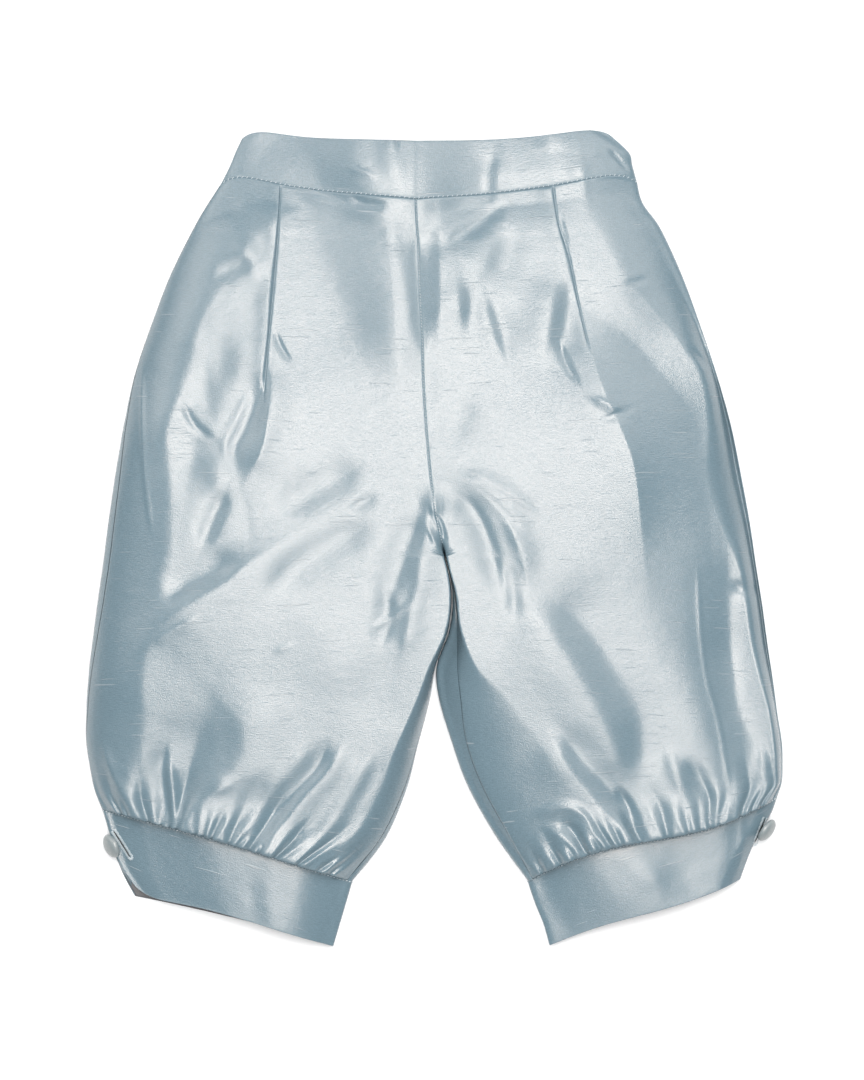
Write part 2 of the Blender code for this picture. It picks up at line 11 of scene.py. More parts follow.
import bpy
import numpy as np
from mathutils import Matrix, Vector


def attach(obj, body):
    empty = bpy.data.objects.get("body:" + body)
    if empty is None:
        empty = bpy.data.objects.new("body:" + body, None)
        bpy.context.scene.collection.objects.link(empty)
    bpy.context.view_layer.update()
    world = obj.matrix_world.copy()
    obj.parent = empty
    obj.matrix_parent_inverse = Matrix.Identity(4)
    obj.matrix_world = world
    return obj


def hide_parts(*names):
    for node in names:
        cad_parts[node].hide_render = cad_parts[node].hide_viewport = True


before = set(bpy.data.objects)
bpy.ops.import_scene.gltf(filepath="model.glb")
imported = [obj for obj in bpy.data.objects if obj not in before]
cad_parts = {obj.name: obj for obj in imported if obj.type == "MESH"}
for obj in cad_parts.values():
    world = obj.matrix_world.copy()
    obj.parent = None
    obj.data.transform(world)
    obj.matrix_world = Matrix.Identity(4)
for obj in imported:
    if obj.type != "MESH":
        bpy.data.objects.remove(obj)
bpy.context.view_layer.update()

MM = 0.001
FINENESS = 1

# The form of the legs, the waistband and the cuffs, on which the creases lie.
SEAM_GAP = 0.04
LEG_GAP = 0.6
CUFF_LOFT = 13.0
EDGE_ROLL = 4.0
WAIST_LOFT = 13.8
WAIST_SHOULDER = 5.4
SHOULDER_REACH = 0.12
WAIST_FADE = 0.6
CUFF_FADE = 0.8
LIP_RISE = 0.9
CROTCH_RISE_RUN = 9.0
DROP_REACH = 0.02
DROP_FADE = 1.6
CURVE_STEPS = 240
ROLL_STEPS = 12

# How finely each sheet is made: the step between its points, and close steps by a seam.
LEG_STEP = 1.0
ROW_STEP = 1.65
BACK_COARSENESS = 2.0
BAND_STEP = 1.1
SEAM_STEPS = (0.0, 0.3, 0.6, 0.95, 1.4, 2.0, 2.8)
LEAST_COLUMNS = 4

# The cut pieces, as wide and as long as they lie flat on the cutting table.
LEG_WIDTH = 236.0
BAND_WIDTH = 268.0
BAND_DEPTH = 34.0
CUFF_WIDTH = 168.0
CUFF_DEPTH = 46.0
BAND_CLOTH = 1.1
SIDES = ("right", "left")

# One row for each section of a leg, from the waist seam to the cuff seam, as the outer and
# inner end of the section on the floor. side_seam is how far the side seam lies onto the
# front, and inseam how far the inseam does, less than 0 meaning that the front stops short.
# shelf is the width of the low strip of the back that shows past the front's inseam.
LegRow = namedtuple(
    "LegRow", "outer_x outer_y inner_x inner_y side_seam inseam shelf", defaults=(0.0, 0.0, 0.0)
)
RIGHT_LEG = [
    LegRow(-136.5, 227.0, -11.5, 216.5),
    LegRow(-146.5, 211.5, -11.0, 202.0),
    LegRow(-155.0, 196.5, -10.0, 187.0),
    LegRow(-169.0, 168.0, -9.0, 158.0),
    LegRow(-181.0, 136.5, -7.5, 126.0),
    LegRow(-191.5, 105.0, -6.5, 94.0, 1.0),
    LegRow(-198.5, 73.0, -4.5, 64.5, 4.0),
    LegRow(-204.0, 41.0, -2.0, 38.0, 6.5),
    LegRow(-208.5, 11.0, 1.5, 14.0, 7.5),
    LegRow(-212.0, -16.5, 7.0, -11.0, 7.5),
    LegRow(-215.5, -42.0, 11.5, -34.0, 7.0),
    LegRow(-219.0, -68.0, 9.5, -58.0, 6.0),
    LegRow(-221.5, -91.5, 1.5, -80.5, 4.0),
    LegRow(-222.5, -112.5, -2.5, -103.0, 2.0, -1.0),
    LegRow(-222.5, -130.0, -10.0, -132.0, 0.0, -3.0),
    LegRow(-220.0, -147.0, -17.4, -160.5, 0.0, -5.0),
    LegRow(-217.0, -161.0, -31.2, -192.0, 0.0, -6.0),
    LegRow(-212.0, -173.5, -52.5, -219.5, 0.0, -4.0),
]
LEFT_LEG = [
    LegRow(130.0, 228.0, -11.5, 216.5, -2.0),
    LegRow(133.5, 215.0, -11.0, 202.0, -2.0),
    LegRow(145.0, 198.5, -10.0, 187.0, -2.0),
    LegRow(159.0, 168.0, -9.0, 158.0, -2.0),
    LegRow(170.5, 136.5, -7.5, 126.0, -2.0),
    LegRow(181.0, 105.0, -6.5, 94.0, -2.0),
    LegRow(190.0, 73.0, -4.5, 64.5, -2.0),
    LegRow(196.5, 41.0, -2.0, 38.0, -2.0),
    LegRow(202.0, 11.0, 1.5, 14.0, -2.0),
    LegRow(206.0, -16.5, 7.0, -11.0, -2.0),
    LegRow(210.0, -42.0, 11.5, -34.0, -2.0, 0.0, 1.0),
    LegRow(213.5, -68.0, 9.5, -58.0, -2.0, 0.0, 5.0),
    LegRow(217.0, -91.5, 1.5, -80.5, -2.0, 0.0, 13.0),
    LegRow(219.5, -110.5, 2.5, -101.0, -2.0, 0.0, 14.0),
    LegRow(222.5, -130.0, 10.5, -128.5, -2.0, 0.0, 9.5),
    LegRow(223.0, -144.5, 21.0, -157.5, -2.0, 0.0, 9.0),
    LegRow(222.5, -155.5, 38.5, -189.0, -2.0, 0.0, 8.0),
    LegRow(219.5, -165.0, 60.0, -219.0, -2.0, 0.0, 3.0),
]
LEGS = {"right": RIGHT_LEG, "left": LEFT_LEG}
CROTCH_ROW = 9
CUFF_ROW = len(RIGHT_LEG) - 1

# How the hollow leg stands above the floor at the same rows: its height, how far the height
# takes to rise from the outer fold and to fall to the inner end on each leg, and the height
# and radius of the inner end. Above the crotch that end is the open centre front.
Lift = namedtuple("Lift", "loft right_rise right_fall left_rise left_fall inner_z inner_roll")
LIFTS = [
    Lift(WAIST_LOFT, 74.0, 18.0, 40.0, 18.0, WAIST_LOFT - 0.6, 0.0),
    Lift(15.6, 58.0, 22.0, 40.0, 22.0, 15.2, 0.0),
    Lift(17.2, 44.0, 24.0, 40.0, 24.0, 16.9, 0.0),
    Lift(19.6, 38.0, 24.0, 38.0, 24.0, 19.3, 0.0),
    Lift(21.6, 33.0, 22.0, 22.0, 22.0, 21.3, 0.0),
    Lift(23.2, 37.0, 20.0, 12.0, 20.0, 22.9, 0.0),
    Lift(24.6, 31.0, 18.0, 16.0, 18.0, 24.3, 0.0),
    Lift(25.7, 38.0, 14.0, 24.0, 14.0, 25.4, 0.0),
    Lift(26.5, 43.0, 8.0, 20.0, 8.0, 26.3, 0.0),
    Lift(27.0, 46.0, 0.9, 13.0, 0.9, EDGE_ROLL, EDGE_ROLL),
    Lift(27.0, 45.0, 0.9, 12.0, 0.9, EDGE_ROLL, EDGE_ROLL),
    Lift(27.0, 40.0, 1.6, 12.0, 2.4, EDGE_ROLL, EDGE_ROLL),
    Lift(26.8, 38.0, 4.0, 10.0, 14.0, EDGE_ROLL, EDGE_ROLL),
    Lift(26.0, 41.0, 9.0, 7.0, 34.0, EDGE_ROLL, EDGE_ROLL),
    Lift(24.9, 39.0, 14.5, 7.0, 50.0, EDGE_ROLL, EDGE_ROLL),
    Lift(24.1, 34.0, 21.0, 7.0, 56.0, EDGE_ROLL, EDGE_ROLL),
    Lift(22.2, 28.0, 27.0, 8.0, 54.0, EDGE_ROLL, EDGE_ROLL),
    Lift(CUFF_LOFT, 26.0, 34.0, 16.0, 50.0, EDGE_ROLL, EDGE_ROLL),
]
CUFF_RISE = {
    "right": (LIFTS[-1].right_rise, LIFTS[-1].right_fall),
    "left": (LIFTS[-1].left_rise, LIFTS[-1].left_fall),
}
WAIST_RISE = {"right": LIFTS[0].right_rise, "left": LIFTS[0].left_rise}

# How steeply a section climbs from its fold and how flat it is on top, how late the open
# centre front comes down to the crotch, and the form of one section of a leg or band.
RISE_CRISPNESS = 1.6
RISE_SHARPNESS = 0.7
CROTCH_HOLD = 5.0
Dome = namedtuple("Dome", "loft rise fall inner_z inner_roll")

# The waistband, from its seam with the legs to its open edge.
BandRow = namedtuple("BandRow", "right_x right_y centre_x centre_y left_x left_y loft shoulder")
WAISTBAND = [
    BandRow(*RIGHT_LEG[0][:4], *LEFT_LEG[0][:2], WAIST_LOFT, WAIST_SHOULDER),
    BandRow(-131.0, 238.0, -11.5, 229.0, 127.0, 239.0, 13.4, 4.5),
    BandRow(-127.0, 247.5, -11.5, 242.0, 125.0, 247.0, 12.5, 4.5),
    BandRow(-123.0, 256.0, -11.5, 253.5, 114.5, 257.0, 11.2, 4.5),
]

# The cuffs, from the gathered seam to the hem. shoulder, less than 0, bends the front down
# near its outer end, and drop is how far the back layer hangs down there.
CuffRow = namedtuple("CuffRow", "outer_x outer_y inner_x inner_y loft shoulder drop")
CUFFS = {
    "right": [
        CuffRow(*RIGHT_LEG[-1][:4], CUFF_LOFT, 0.0, 0.0),
        CuffRow(-208.0, -187.5, -56.5, -233.5, 12.3, -2.0, 2.5),
        CuffRow(-204.0, -203.0, -60.5, -247.0, 11.5, -4.5, 7.0),
        CuffRow(-195.0, -217.0, -64.5, -260.5, 10.5, -7.0, 11.0),
    ],
    "left": [
        CuffRow(*LEFT_LEG[-1][:4], CUFF_LOFT, 0.0, 0.0),
        CuffRow(215.5, -176.0, 64.5, -232.5, 12.3, 0.0, 0.3),
        CuffRow(204.0, -196.5, 70.0, -246.0, 11.5, 0.0, 0.6),
        CuffRow(196.0, -217.5, 74.0, -260.0, 10.5, 0.0, 1.0),
    ],
}

# How the cuff seam bends between its ends: down the leg at its middle, and first down and
# then up from the outer end. The hem keeps a share of the bend.
CUFF_BOW = {"right": -2.5, "left": 0.0}
CUFF_SWAY = {"right": 0.0, "left": 4.5}
HEM_BEND = {"right": 0.0, "left": 0.35}


def bend_between(before, start, end, after, part):
    """The place at a part of the way from start to end, on a curve through all four."""
    into = (end - before) / 2
    out = (after - start) / 2
    bend = 2 * (start - end) + into + out
    lean = 3 * (end - start) - 2 * into - out
    return ((bend * part + lean) * part + into) * part + start


def smooth_row(table, place):
    """The table's row at a fractional place, on a curve through its rows."""
    low = min(int(place), len(table) - 2)
    around = [np.array(table[min(max(low + step, 0), len(table) - 1)]) for step in (-1, 0, 1, 2)]
    return type(table[0])(*bend_between(*around, place - low))


def shoulder(across):
    """A bump of height 1 close to the outer end of a row."""
    return across / SHOULDER_REACH * np.exp(1 - across / SHOULDER_REACH)


class Loop:
    """The run of cloth around one leg or band, standing on the floor plan."""

    def __init__(self, outer, inner, lift, shelf=0.0, is_open=False):
        self.outer = np.array(outer)
        self.inner = np.array(inner)
        self.width = np.linalg.norm(self.inner - self.outer)
        self.across = (self.inner - self.outer) / self.width
        turn = 1.0 if self.across[0] > 0 else -1.0
        self.down = turn * np.array((self.across[1], -self.across[0]))
        self.is_open = is_open
        dome, lip = self.front_curve(lift, shelf)
        front = np.vstack((dome, lip))
        back = self.back_curve(lift)
        front_run = lengths_along(front)
        back_run = lengths_along(back)
        self.front_length = front_run[-1]
        self.seam_length = front_run[len(dome) - 1]
        self.back_length = back_run[-1]
        self.run = np.concatenate((-back_run[::-1], front_run[1:]))
        self.curve = np.vstack((back[::-1], front[1:]))

    def front_curve(self, lift, shelf):
        """The dome of the front from its outer fold, and the low lip past its inner end."""
        spread = (1 - np.cos(np.linspace(0.0, math.pi, CURVE_STEPS + 1))) / 2
        openness = min(max((lift.inner_z - lift.inner_roll) / EDGE_ROLL, 0.0), 1.0)
        climb = 1 - np.maximum(1 - spread * self.width / lift.rise, 0.0) ** RISE_CRISPNESS
        drop = 1 - np.maximum(1 - (1 - spread) * self.width / lift.fall, 0.0) ** RISE_CRISPNESS
        rise = climb**RISE_SHARPNESS
        fall = drop ** (RISE_SHARPNESS + (1 - RISE_SHARPNESS) * openness)
        bend = min(shelf, lift.inner_roll)
        angle = np.linspace(0.0, math.pi / 2, ROLL_STEPS + 1)
        lip = bend * np.column_stack((np.sin(angle) - 1, np.cos(angle)))
        lip += (self.width, lift.inner_z)
        foot = lift.inner_z + bend + LIP_RISE * (shelf - bend)
        height = EDGE_ROLL + (lift.loft - EDGE_ROLL) * rise - (lift.loft - foot) * (1 - fall)
        return np.column_stack((spread * (self.width - shelf), height)), lip

    def back_curve(self, lift):
        """The back from the outer fold along the floor to its inner end."""
        angle = np.linspace(0.0, math.pi / 2, ROLL_STEPS + 1)
        outer = EDGE_ROLL * np.column_stack((1 - np.cos(angle), 1 - np.sin(angle)))
        if self.is_open:
            rise = np.linspace(0.0, 1.0, ROLL_STEPS + 1)
            inner = np.column_stack((CROTCH_RISE_RUN * (rise - 1), lift.inner_roll * rise**2))
        else:
            inner = lift.inner_roll * np.column_stack((np.sin(angle) - 1, 1 - np.cos(angle)))
        return np.vstack((outer, inner + (self.width, 0.0)))

    def at(self, distance):
        """The places across and heights, at distances along the loop from the outer fold."""
        if not self.is_open:
            perimeter = self.front_length + self.back_length
            distance = (distance + self.back_length) % perimeter - self.back_length
        across = np.interp(distance, self.run, self.curve[:, 0])
        return across, np.interp(distance, self.run, self.curve[:, 1])

    def place(self, across, height, down):
        """Points in space, moved down the leg by a bend of the row."""
        flat = self.outer + np.outer(across, self.across) + np.outer(down, self.down)
        return np.column_stack((flat, height))


def lengths_along(curve):
    """The distance from the start of a curve to each of its points."""
    steps = np.linalg.norm(np.diff(curve, axis=0), axis=1)
    return np.concatenate(([0.0], np.cumsum(steps)))


def leg_loop(side, place):
    """The row of a leg at a fractional place, and its loop."""
    row = smooth_row(LEGS[side], place)
    lift = smooth_row(LIFTS, place)
    rise, fall = getattr(lift, side + "_rise"), getattr(lift, side + "_fall")
    is_open = place < CROTCH_ROW
    roll = max(lift.inner_roll, 0.0)
    inner_z = lift.inner_z if is_open else roll
    part = place - (CROTCH_ROW - 1)
    if is_open and part > 0:
        high, low = LIFTS[CROTCH_ROW - 1].inner_z, EDGE_ROLL
        inner_z = high + (low - high) * part**CROTCH_HOLD
    dome = Dome(lift.loft, rise, fall, inner_z, roll)
    away = -1.0 if side == "right" else 1.0
    gap = SEAM_GAP if is_open else LEG_GAP
    inner = (row.inner_x + away * gap / 2, row.inner_y)
    shelf = 0.0 if is_open else max(row.shelf, 0.0)
    return row, Loop((row.outer_x, row.outer_y), inner, dome, shelf, is_open)


def cuff_bend(side, across):
    """How far down the leg the cuff seam is bent."""
    bow = CUFF_BOW[side] * np.sin(math.pi * across)
    return bow + CUFF_SWAY[side] * np.sin(2 * math.pi * across)


def row_bend(side, place, across):
    """How far down the leg a row is bent, at the waist seam and at the cuff seam."""
    waist = -WAIST_SHOULDER * shoulder(across) * math.exp(-place / WAIST_FADE)
    return waist + cuff_bend(side, across) * math.exp(-(CUFF_ROW - place) / CUFF_FADE)


def fine_fractions(length, step):
    """Fractions from 0 to 1 along a length, with close steps at both ends."""
    near = np.array(SEAM_STEPS[::FINENESS])
    count = max(int((length - 2 * near[-1]) / (step * FINENESS)), 2)
    middle = np.linspace(near[-1], length - near[-1], count + 1)[1:-1]
    return np.concatenate((near, middle, length - near[::-1])) / length


def smoothly(part):
    """An ease from 0 to 1 as its argument goes from 0 to 1."""
    part = np.clip(part, 0.0, 1.0)
    return part * part * (3 - 2 * part)


def curve_through(points, step):
    """A smooth line through points on the floor plan."""
    points = [np.array(point, dtype=float) for point in points]
    if len(points) == 2:
        points.insert(1, (points[0] + points[1]) / 2)
    line = []
    for number, (start, end) in enumerate(zip(points, points[1:])):
        before = points[max(number - 1, 0)]
        after = points[min(number + 2, len(points) - 1)]
        count = max(int(np.linalg.norm(end - start) / step), 2)
        part = np.linspace(0.0, 1.0, count, endpoint=False)[:, None]
        line.append(bend_between(before, start, end, after, part))
    return np.vstack((*line, points[-1]))


# A crease on the floor plan: its height, less than 0 for a hollow, how far it reaches to the
# left and to the right of its path, how much of its length it takes to grow and to die away,
# and how crisp its crest is, 2 being soft and 1 a sharp edge. It is left out where it falls
# below exp(-REACH_LIMIT) of its height.
Crease = namedtuple("Crease", "height left right path grow die crisp", defaults=(0.3, 0.3, 2.0))
REACH_LIMIT = 7.0
STEEP_SHARE = 0.75
GENTLE_SHARE = 1.5
NARROW_END = 0.45
BEND_SHARE = 0.22
BEND_LEAST = 1.0


def faces_right(height, width, crest, hollow, *ends):
    """A crest and the hollow beside it, with a slope between them towards the wearer's right.
    The ends are how both grow and die away and, third, how crisp the crest is."""
    steep, gentle = STEEP_SHARE * width, GENTLE_SHARE * width
    return Crease(height, gentle, steep, crest, *ends), Crease(-height, steep, gentle, hollow, *ends[:2])


def faces_left(height, width, crest, hollow, *ends):
    """A crest and the hollow beside it, with a slope between them towards the wearer's left."""
    steep, gentle = STEEP_SHARE * width, GENTLE_SHARE * width
    return Crease(height, steep, gentle, crest, *ends), Crease(-height, gentle, steep, hollow, *ends[:2])


def crease_height(x, y, crease):
    """The height that one crease adds at places on the floor plan."""
    bend = BEND_SHARE * max(crease.left, crease.right) + BEND_LEAST
    line = curve_through(crease.path, bend)
    middle = (line[1:] + line[:-1]) / 2
    step = np.diff(line, axis=0)
    length = np.linalg.norm(step, axis=1)
    step /= length[:, None]
    along = (lengths_along(line)[:-1] + length / 2) / length.sum()
    taper = np.ones_like(along)
    if crease.grow:
        taper *= smoothly(along / crease.grow)
    if crease.die:
        taper *= smoothly((1 - along) / crease.die)
    narrow = NARROW_END + (1 - NARROW_END) * taper
    reach = REACH_LIMIT ** (1 / crease.crisp) * max(crease.left, crease.right)
    near = (x > line[:, 0].min() - reach) & (x < line[:, 0].max() + reach)
    near &= (y > line[:, 1].min() - reach) & (y < line[:, 1].max() + reach)
    total = np.zeros_like(x)
    if near.any():
        away_x = x[near][:, None] - middle[:, 0]
        away_y = y[near][:, None] - middle[:, 1]
        square = away_x**2 + away_y**2
        share = np.exp((square.min(axis=1)[:, None] - square) / (2 * bend**2)) * length
        beside = step[:, 0] * away_y - step[:, 1] * away_x
        width = np.where(beside > 0, crease.left, crease.right) * narrow
        height = taper * np.exp(-((np.abs(beside) / width) ** crease.crisp))
        total[near] = crease.height * (share * height).sum(axis=1) / share.sum(axis=1)
    return total


def crease_lift(points, creases, foot, run):
    """What its creases add to a sheet's height, fading out towards the floor."""
    x, y, z = (points[..., axis].ravel() for axis in range(3))
    total = np.zeros_like(z)
    for crease in creases:
        total += crease_height(x, y, crease)
    return (smoothly((z - foot) / run) * total).reshape(points.shape[:2])


# The creases of both legs, from the waist down.
LEG_CREASES = [
    # The dart of the right front, and the hollow that it opens into.
    Crease(-0.9, 0.5, 0.5,
           [(-98, 222), (-99, 198), (-102, 159), (-105, 127), (-107, 102), (-108, 86)], 0.0, 0.1),
    Crease(0.9, 0.7, 7.0,
           [(-99, 222), (-100, 198), (-104, 159), (-106, 127), (-109, 102), (-113, 83)], 0.0, 0.2),
    *faces_right(2.9, 11.0,
                 [(-104, 111), (-104, 95), (-106, 73), (-109, 57), (-117, 40)],
                 [(-106, 111), (-113, 90), (-120, 73), (-127, 58), (-125, 42)], 0.3, 0.2, 1.25),
    Crease(-0.8, 1.2, 3.0, [(-101, 132), (-96, 121), (-90, 112)]),
    Crease(0.9, 5.0, 4.0, [(-115, 99), (-125, 76), (-132, 60), (-129, 44)], 0.3, 0.3, 1.6),
    # The long blue fold between that dart and the centre front.
    Crease(2.6, 22.0, 22.0,
           [(-32, 203), (-29, 185), (-26, 156), (-24, 131), (-22, 108), (-21, 89)], 0.1, 0.35, 1.4),
    Crease(-2.4, 24.0, 44.0,
           [(-91, 215), (-83, 196), (-74, 172), (-62, 145), (-51, 121), (-41, 99)], 0.1, 0.35),
    Crease(-0.8, 4.0, 4.0, [(-12, 196), (-11, 175), (-9, 147), (-7, 115)], 0.25, 0.25),
    Crease(0.4, 5.0, 5.0, [(-29, 208), (-22, 177), (-18, 150), (-16, 124)], 0.2, 0.3),
    Crease(1.0, 3.0, 9.0, [(-88, 222), (-72, 216), (-54, 210), (-36, 207), (-19, 211)]),
    Crease(-0.8, 2.5, 3.0, [(-55, 219), (-44, 214), (-28, 212)]),
    Crease(2.4, 26.0, 7.5, [(5, 194), (5, 159), (4, 124)], 0.25, 0.3),
    # Folds of the right leg's side.
    *faces_right(0.8, 13.0,
                 [(-122, 137), (-120, 111), (-124, 89), (-130, 71)],
                 [(-136, 127), (-138, 102), (-141, 81)]),
    Crease(-1.2, 8.0, 14.0, [(-146, 109), (-146, 90), (-141, 71)]),
    *faces_right(1.3, 12.0,
                 [(-148, 81), (-136, 66), (-134, 47), (-140, 25)],
                 [(-154, 75), (-154, 56), (-157, 33)], 0.25, 0.3),
    Crease(-0.8, 2.0, 2.4, [(-158, 84), (-154, 76), (-148, 69), (-138, 63)], 0.1, 0.3),
    Crease(-1.5, 5.0, 7.0, [(-131, 33), (-140, 12), (-148, -6)]),
    Crease(0.8, 9.0, 9.0, [(-110, 215), (-105, 203), (-101, 187)], 0.2, 0.3),
    Crease(1.4, 9.0, 9.0, [(-124, 193), (-116, 177), (-113, 163)]),
    Crease(-1.2, 6.0, 6.0, [(-140, 164), (-127, 172), (-114, 177)]),
    Crease(0.8, 1.6, 1.6, [(-186, 116), (-186, 87), (-184, 49), (-180, 13), (-177, -4)], 0.2, 0.2, 1.6),
    Crease(-1.0, 7.0, 6.0, [(-163, 199), (-141, 209), (-118, 214)]),
    # The fold that crosses the right leg above its knee.
    Crease(3.7, 12.0, 40.0,
           [(-182, -65), (-160, -45), (-141, -33), (-116, -15), (-92, -1), (-67, 17)], 0.2, 0.65, 1.35),
    Crease(-2.6, 14.0, 7.0, [(-175, -40), (-148, -24), (-120, -12)]),
    Crease(-1.7, 12.0, 10.0, [(-104, 15), (-72, 33), (-44, 48)]),
    Crease(-1.7, 10.0, 12.0, [(-110, -39), (-86, -17), (-57, 1), (-33, 12)]),
    Crease(-0.8, 3.0, 5.0, [(-56, 17), (-36, 29)]),
    Crease(0.8, 1.4, 5.0, [(-180, -66), (-165, -57), (-146, -47)], 0.2, 0.3, 1.6),
    Crease(0.5, 1.5, 2.0, [(-102, -72), (-88, -66)]),
    Crease(-1.1, 5.0, 9.0, [(-32, -31), (-29, -49), (-35, -71)]),
    Crease(0.9, 22.0, 22.0, [(-86, -39), (-67, -71), (-60, -103)]),
    Crease(-0.8, 18.0, 18.0, [(-27, -65), (-35, -97), (-46, -122)]),
    # The hollow and the loose folds above the right cuff.
    *faces_right(2.4, 17.0,
                 [(-133, -100), (-120, -117), (-119, -135), (-128, -152), (-145, -167)],
                 [(-146, -108), (-152, -127), (-158, -145), (-161, -164), (-161, -179)], 0.25, 0.1),
    Crease(1.5, 3.0, 4.0, [(-169, -134), (-166, -156), (-163, -180)], 0.4, 0.0),
    Crease(1.7, 4.0, 4.0, [(-211, -125), (-205, -148), (-189, -177)], 0.4, 0.0, 1.7),
    Crease(-1.7, 3.0, 10.0, [(-170, -127), (-172, -151), (-168, -176)], 0.3, 0.0),
    Crease(-1.4, 8.0, 10.0, [(-106, -145), (-114, -167), (-118, -194)], 0.4, 0.0),
    Crease(1.3, 5.0, 8.0, [(-125, -153), (-142, -162), (-147, -181)], 0.3, 0.0, 1.8),
    Crease(1.3, 9.0, 5.0, [(-56, -125), (-64, -144), (-79, -162), (-96, -181)], 0.3, 0.1),
    Crease(-1.7, 5.0, 9.0, [(-67, -125), (-74, -143), (-90, -160), (-106, -181)], 0.3, 0.1),
    Crease(1.0, 10.0, 7.0, [(-82, -129), (-88, -145), (-101, -161)], 0.3, 0.1),
    Crease(-1.4, 2.0, 3.0, [(-79, -177), (-90, -191), (-101, -204)], 0.4, 0.0),
    Crease(-1.4, 5.0, 10.0, [(-26, -130), (-40, -161), (-56, -186), (-72, -207)], 0.3, 0.0),
    Crease(0.8, 6.0, 6.0, [(-37, -132), (-54, -162), (-72, -191)], 0.3, 0.0),
    # The pull at the crotch, on both legs.
    *faces_right(1.4, 8.0,
                 [(-4, 25), (-5, 4), (-8, -13), (-10, -33), (-17, -48)],
                 [(-8, 17), (-17, -4), (-24, -23), (-33, -49)], 0.2, 0.3, 1.7),
    *faces_right(0.8, 4.0,
                 [(17, 45), (32, 38), (45, 31), (56, 23), (68, 13)],
                 [(12, 38), (27, 31), (38, 23), (47, 14), (58, 3)], 0.3, 0.3, 1.7),
    *faces_right(1.6, 6.5,
                 [(8, 39), (26, 32), (40, 20), (49, 7), (56, -11), (61, -34)],
                 [(8, 29), (19, 24), (28, 13), (35, -4), (40, -26), (42, -44)], 0.2, 0.35, 1.7),
    Crease(1.1, 9.0, 5.0, [(-13, -34), (-15, -53), (-20, -75)]),
    Crease(0.5, 2.0, 2.0, [(-41, -58), (-26, -49), (-12, -39)]),
    Crease(-0.9, 5.0, 5.0, [(46, -13), (50, -34), (52, -53)]),
    Crease(0.6, 1.5, 1.5, [(-3, 25), (1, 12), (4, 4)], 0.2, 0.2),
    Crease(-0.8, 1.5, 1.5, [(-1, 17), (4, 10), (8, -4)], 0.2, 0.2),
    Crease(0.7, 1.3, 1.6, [(-4, 7), (0, -1), (2, -11)], 0.2, 0.2),
    # Small folds between the centre front and the left dart.
    Crease(0.4, 6.0, 6.0, [(-6, 190), (9, 198), (26, 209), (45, 217)], 0.2, 0.3, 1.8),
    Crease(-0.7, 3.0, 6.0, [(4, 185), (18, 194), (33, 205), (50, 217)], 0.25, 0.25),
    Crease(-0.8, 9.0, 10.0, [(55, 199), (47, 182), (40, 159)]),
    Crease(0.8, 9.0, 10.0, [(40, 196), (32, 181), (26, 166)]),
    *faces_left(0.95, 7.0,
                [(13, 167), (15, 151), (17, 135)], [(20, 164), (24, 148), (22, 131)], 0.4, 0.4),
    *faces_left(0.8, 6.0, [(29, 158), (37, 132), (44, 111)], [(35, 156), (43, 131), (49, 109)], 0.3, 0.4),
    *faces_left(1.7, 10.0,
                [(76, 171), (74, 150), (71, 131), (67, 113)],
                [(88, 173), (87, 152), (84, 131), (79, 108)], 0.35, 0.35),
    Crease(-1.0, 2.5, 3.0, [(79, 127), (84, 111), (92, 97)]),
    Crease(-0.9, 11.0, 11.0, [(23, 92), (13, 73), (9, 54)]),
    # The dart of the left front, and the folded edge below it.
    Crease(-0.6, 0.45, 0.45,
           [(76, 225), (79, 202), (86, 179), (91, 154), (96, 131), (99, 120)], 0.0, 0.05),
    Crease(0.6, 0.7, 8.0, [(74, 225), (78, 202), (84, 179), (90, 154), (95, 131), (97, 120)], 0.0, 0.1),
    Crease(-0.6, 2.0, 2.0, [(79, 209), (82, 196), (86, 184)]),
    Crease(6.0, 20.0, 46.0,
           [(95, 136), (100, 118), (106, 98), (113, 81), (120, 65), (126, 47), (130, 19),
            (134, -23)], 0.3, 0.5, 1.15),
    Crease(-4.6, 60.0, 16.0,
           [(108, 139), (127, 125), (143, 107), (160, 86), (170, 63), (174, 25)], 0.25, 0.4, 1.5),
    Crease(0.9, 2.0, 3.5, [(99, 90), (109, 86), (118, 82)], 0.3, 0.1, 1.6),
    Crease(-0.6, 2.0, 3.0, [(110, 77), (120, 81), (131, 85)], 0.2, 0.6),
    Crease(-0.6, 4.0, 3.0, [(104, 81), (110, 77), (118, 76)]),
    # Folds of the left leg's side.
    Crease(-0.8, 7.0, 9.0, [(118, 158), (133, 156), (147, 144), (160, 127)]),
    Crease(-0.6, 2.0, 2.0, [(119, 161), (138, 166)]),
    Crease(-1.0, 2.0, 3.0, [(160, 124), (168, 117), (177, 108)]),
    Crease(-8.0, 60.0, 46.0,
           [(180, 99), (193, 57), (189, 12), (187, -33), (189, -71), (197, -109),
            (204, -148)], 0.1, 0.4, 1.5),
    Crease(-3.0, 34.0, 22.0, [(188, -39), (191, -71), (195, -103), (201, -132), (207, -154)], 0.3, 0.15),
    Crease(-2.4, 30.0, 14.0,
           [(191, -1), (190, -39), (190, -71), (192, -97), (195, -111), (204, -130), (207, -148),
            (209, -167)], 0.15, 0.05, 1.5),
    Crease(0.45, 1.6, 1.6, [(167, -11), (169, -56), (173, -88), (181, -119), (188, -161)], 0.2, 0.1, 1.5),
    Crease(-1.6, 4.0, 4.0, [(188, -28), (199, -32), (210, -30)]),
    # The loose folds above the left cuff.
    *faces_left(2.6, 17.0,
                [(58, -43), (76, -67), (97, -103), (110, -134), (114, -158)],
                [(73, -35), (96, -53), (115, -80), (131, -106), (134, -129), (132, -156)], 0.15, 0.15),
    *faces_left(1.9, 10.0,
                [(70, -120), (82, -143), (96, -161), (114, -181)],
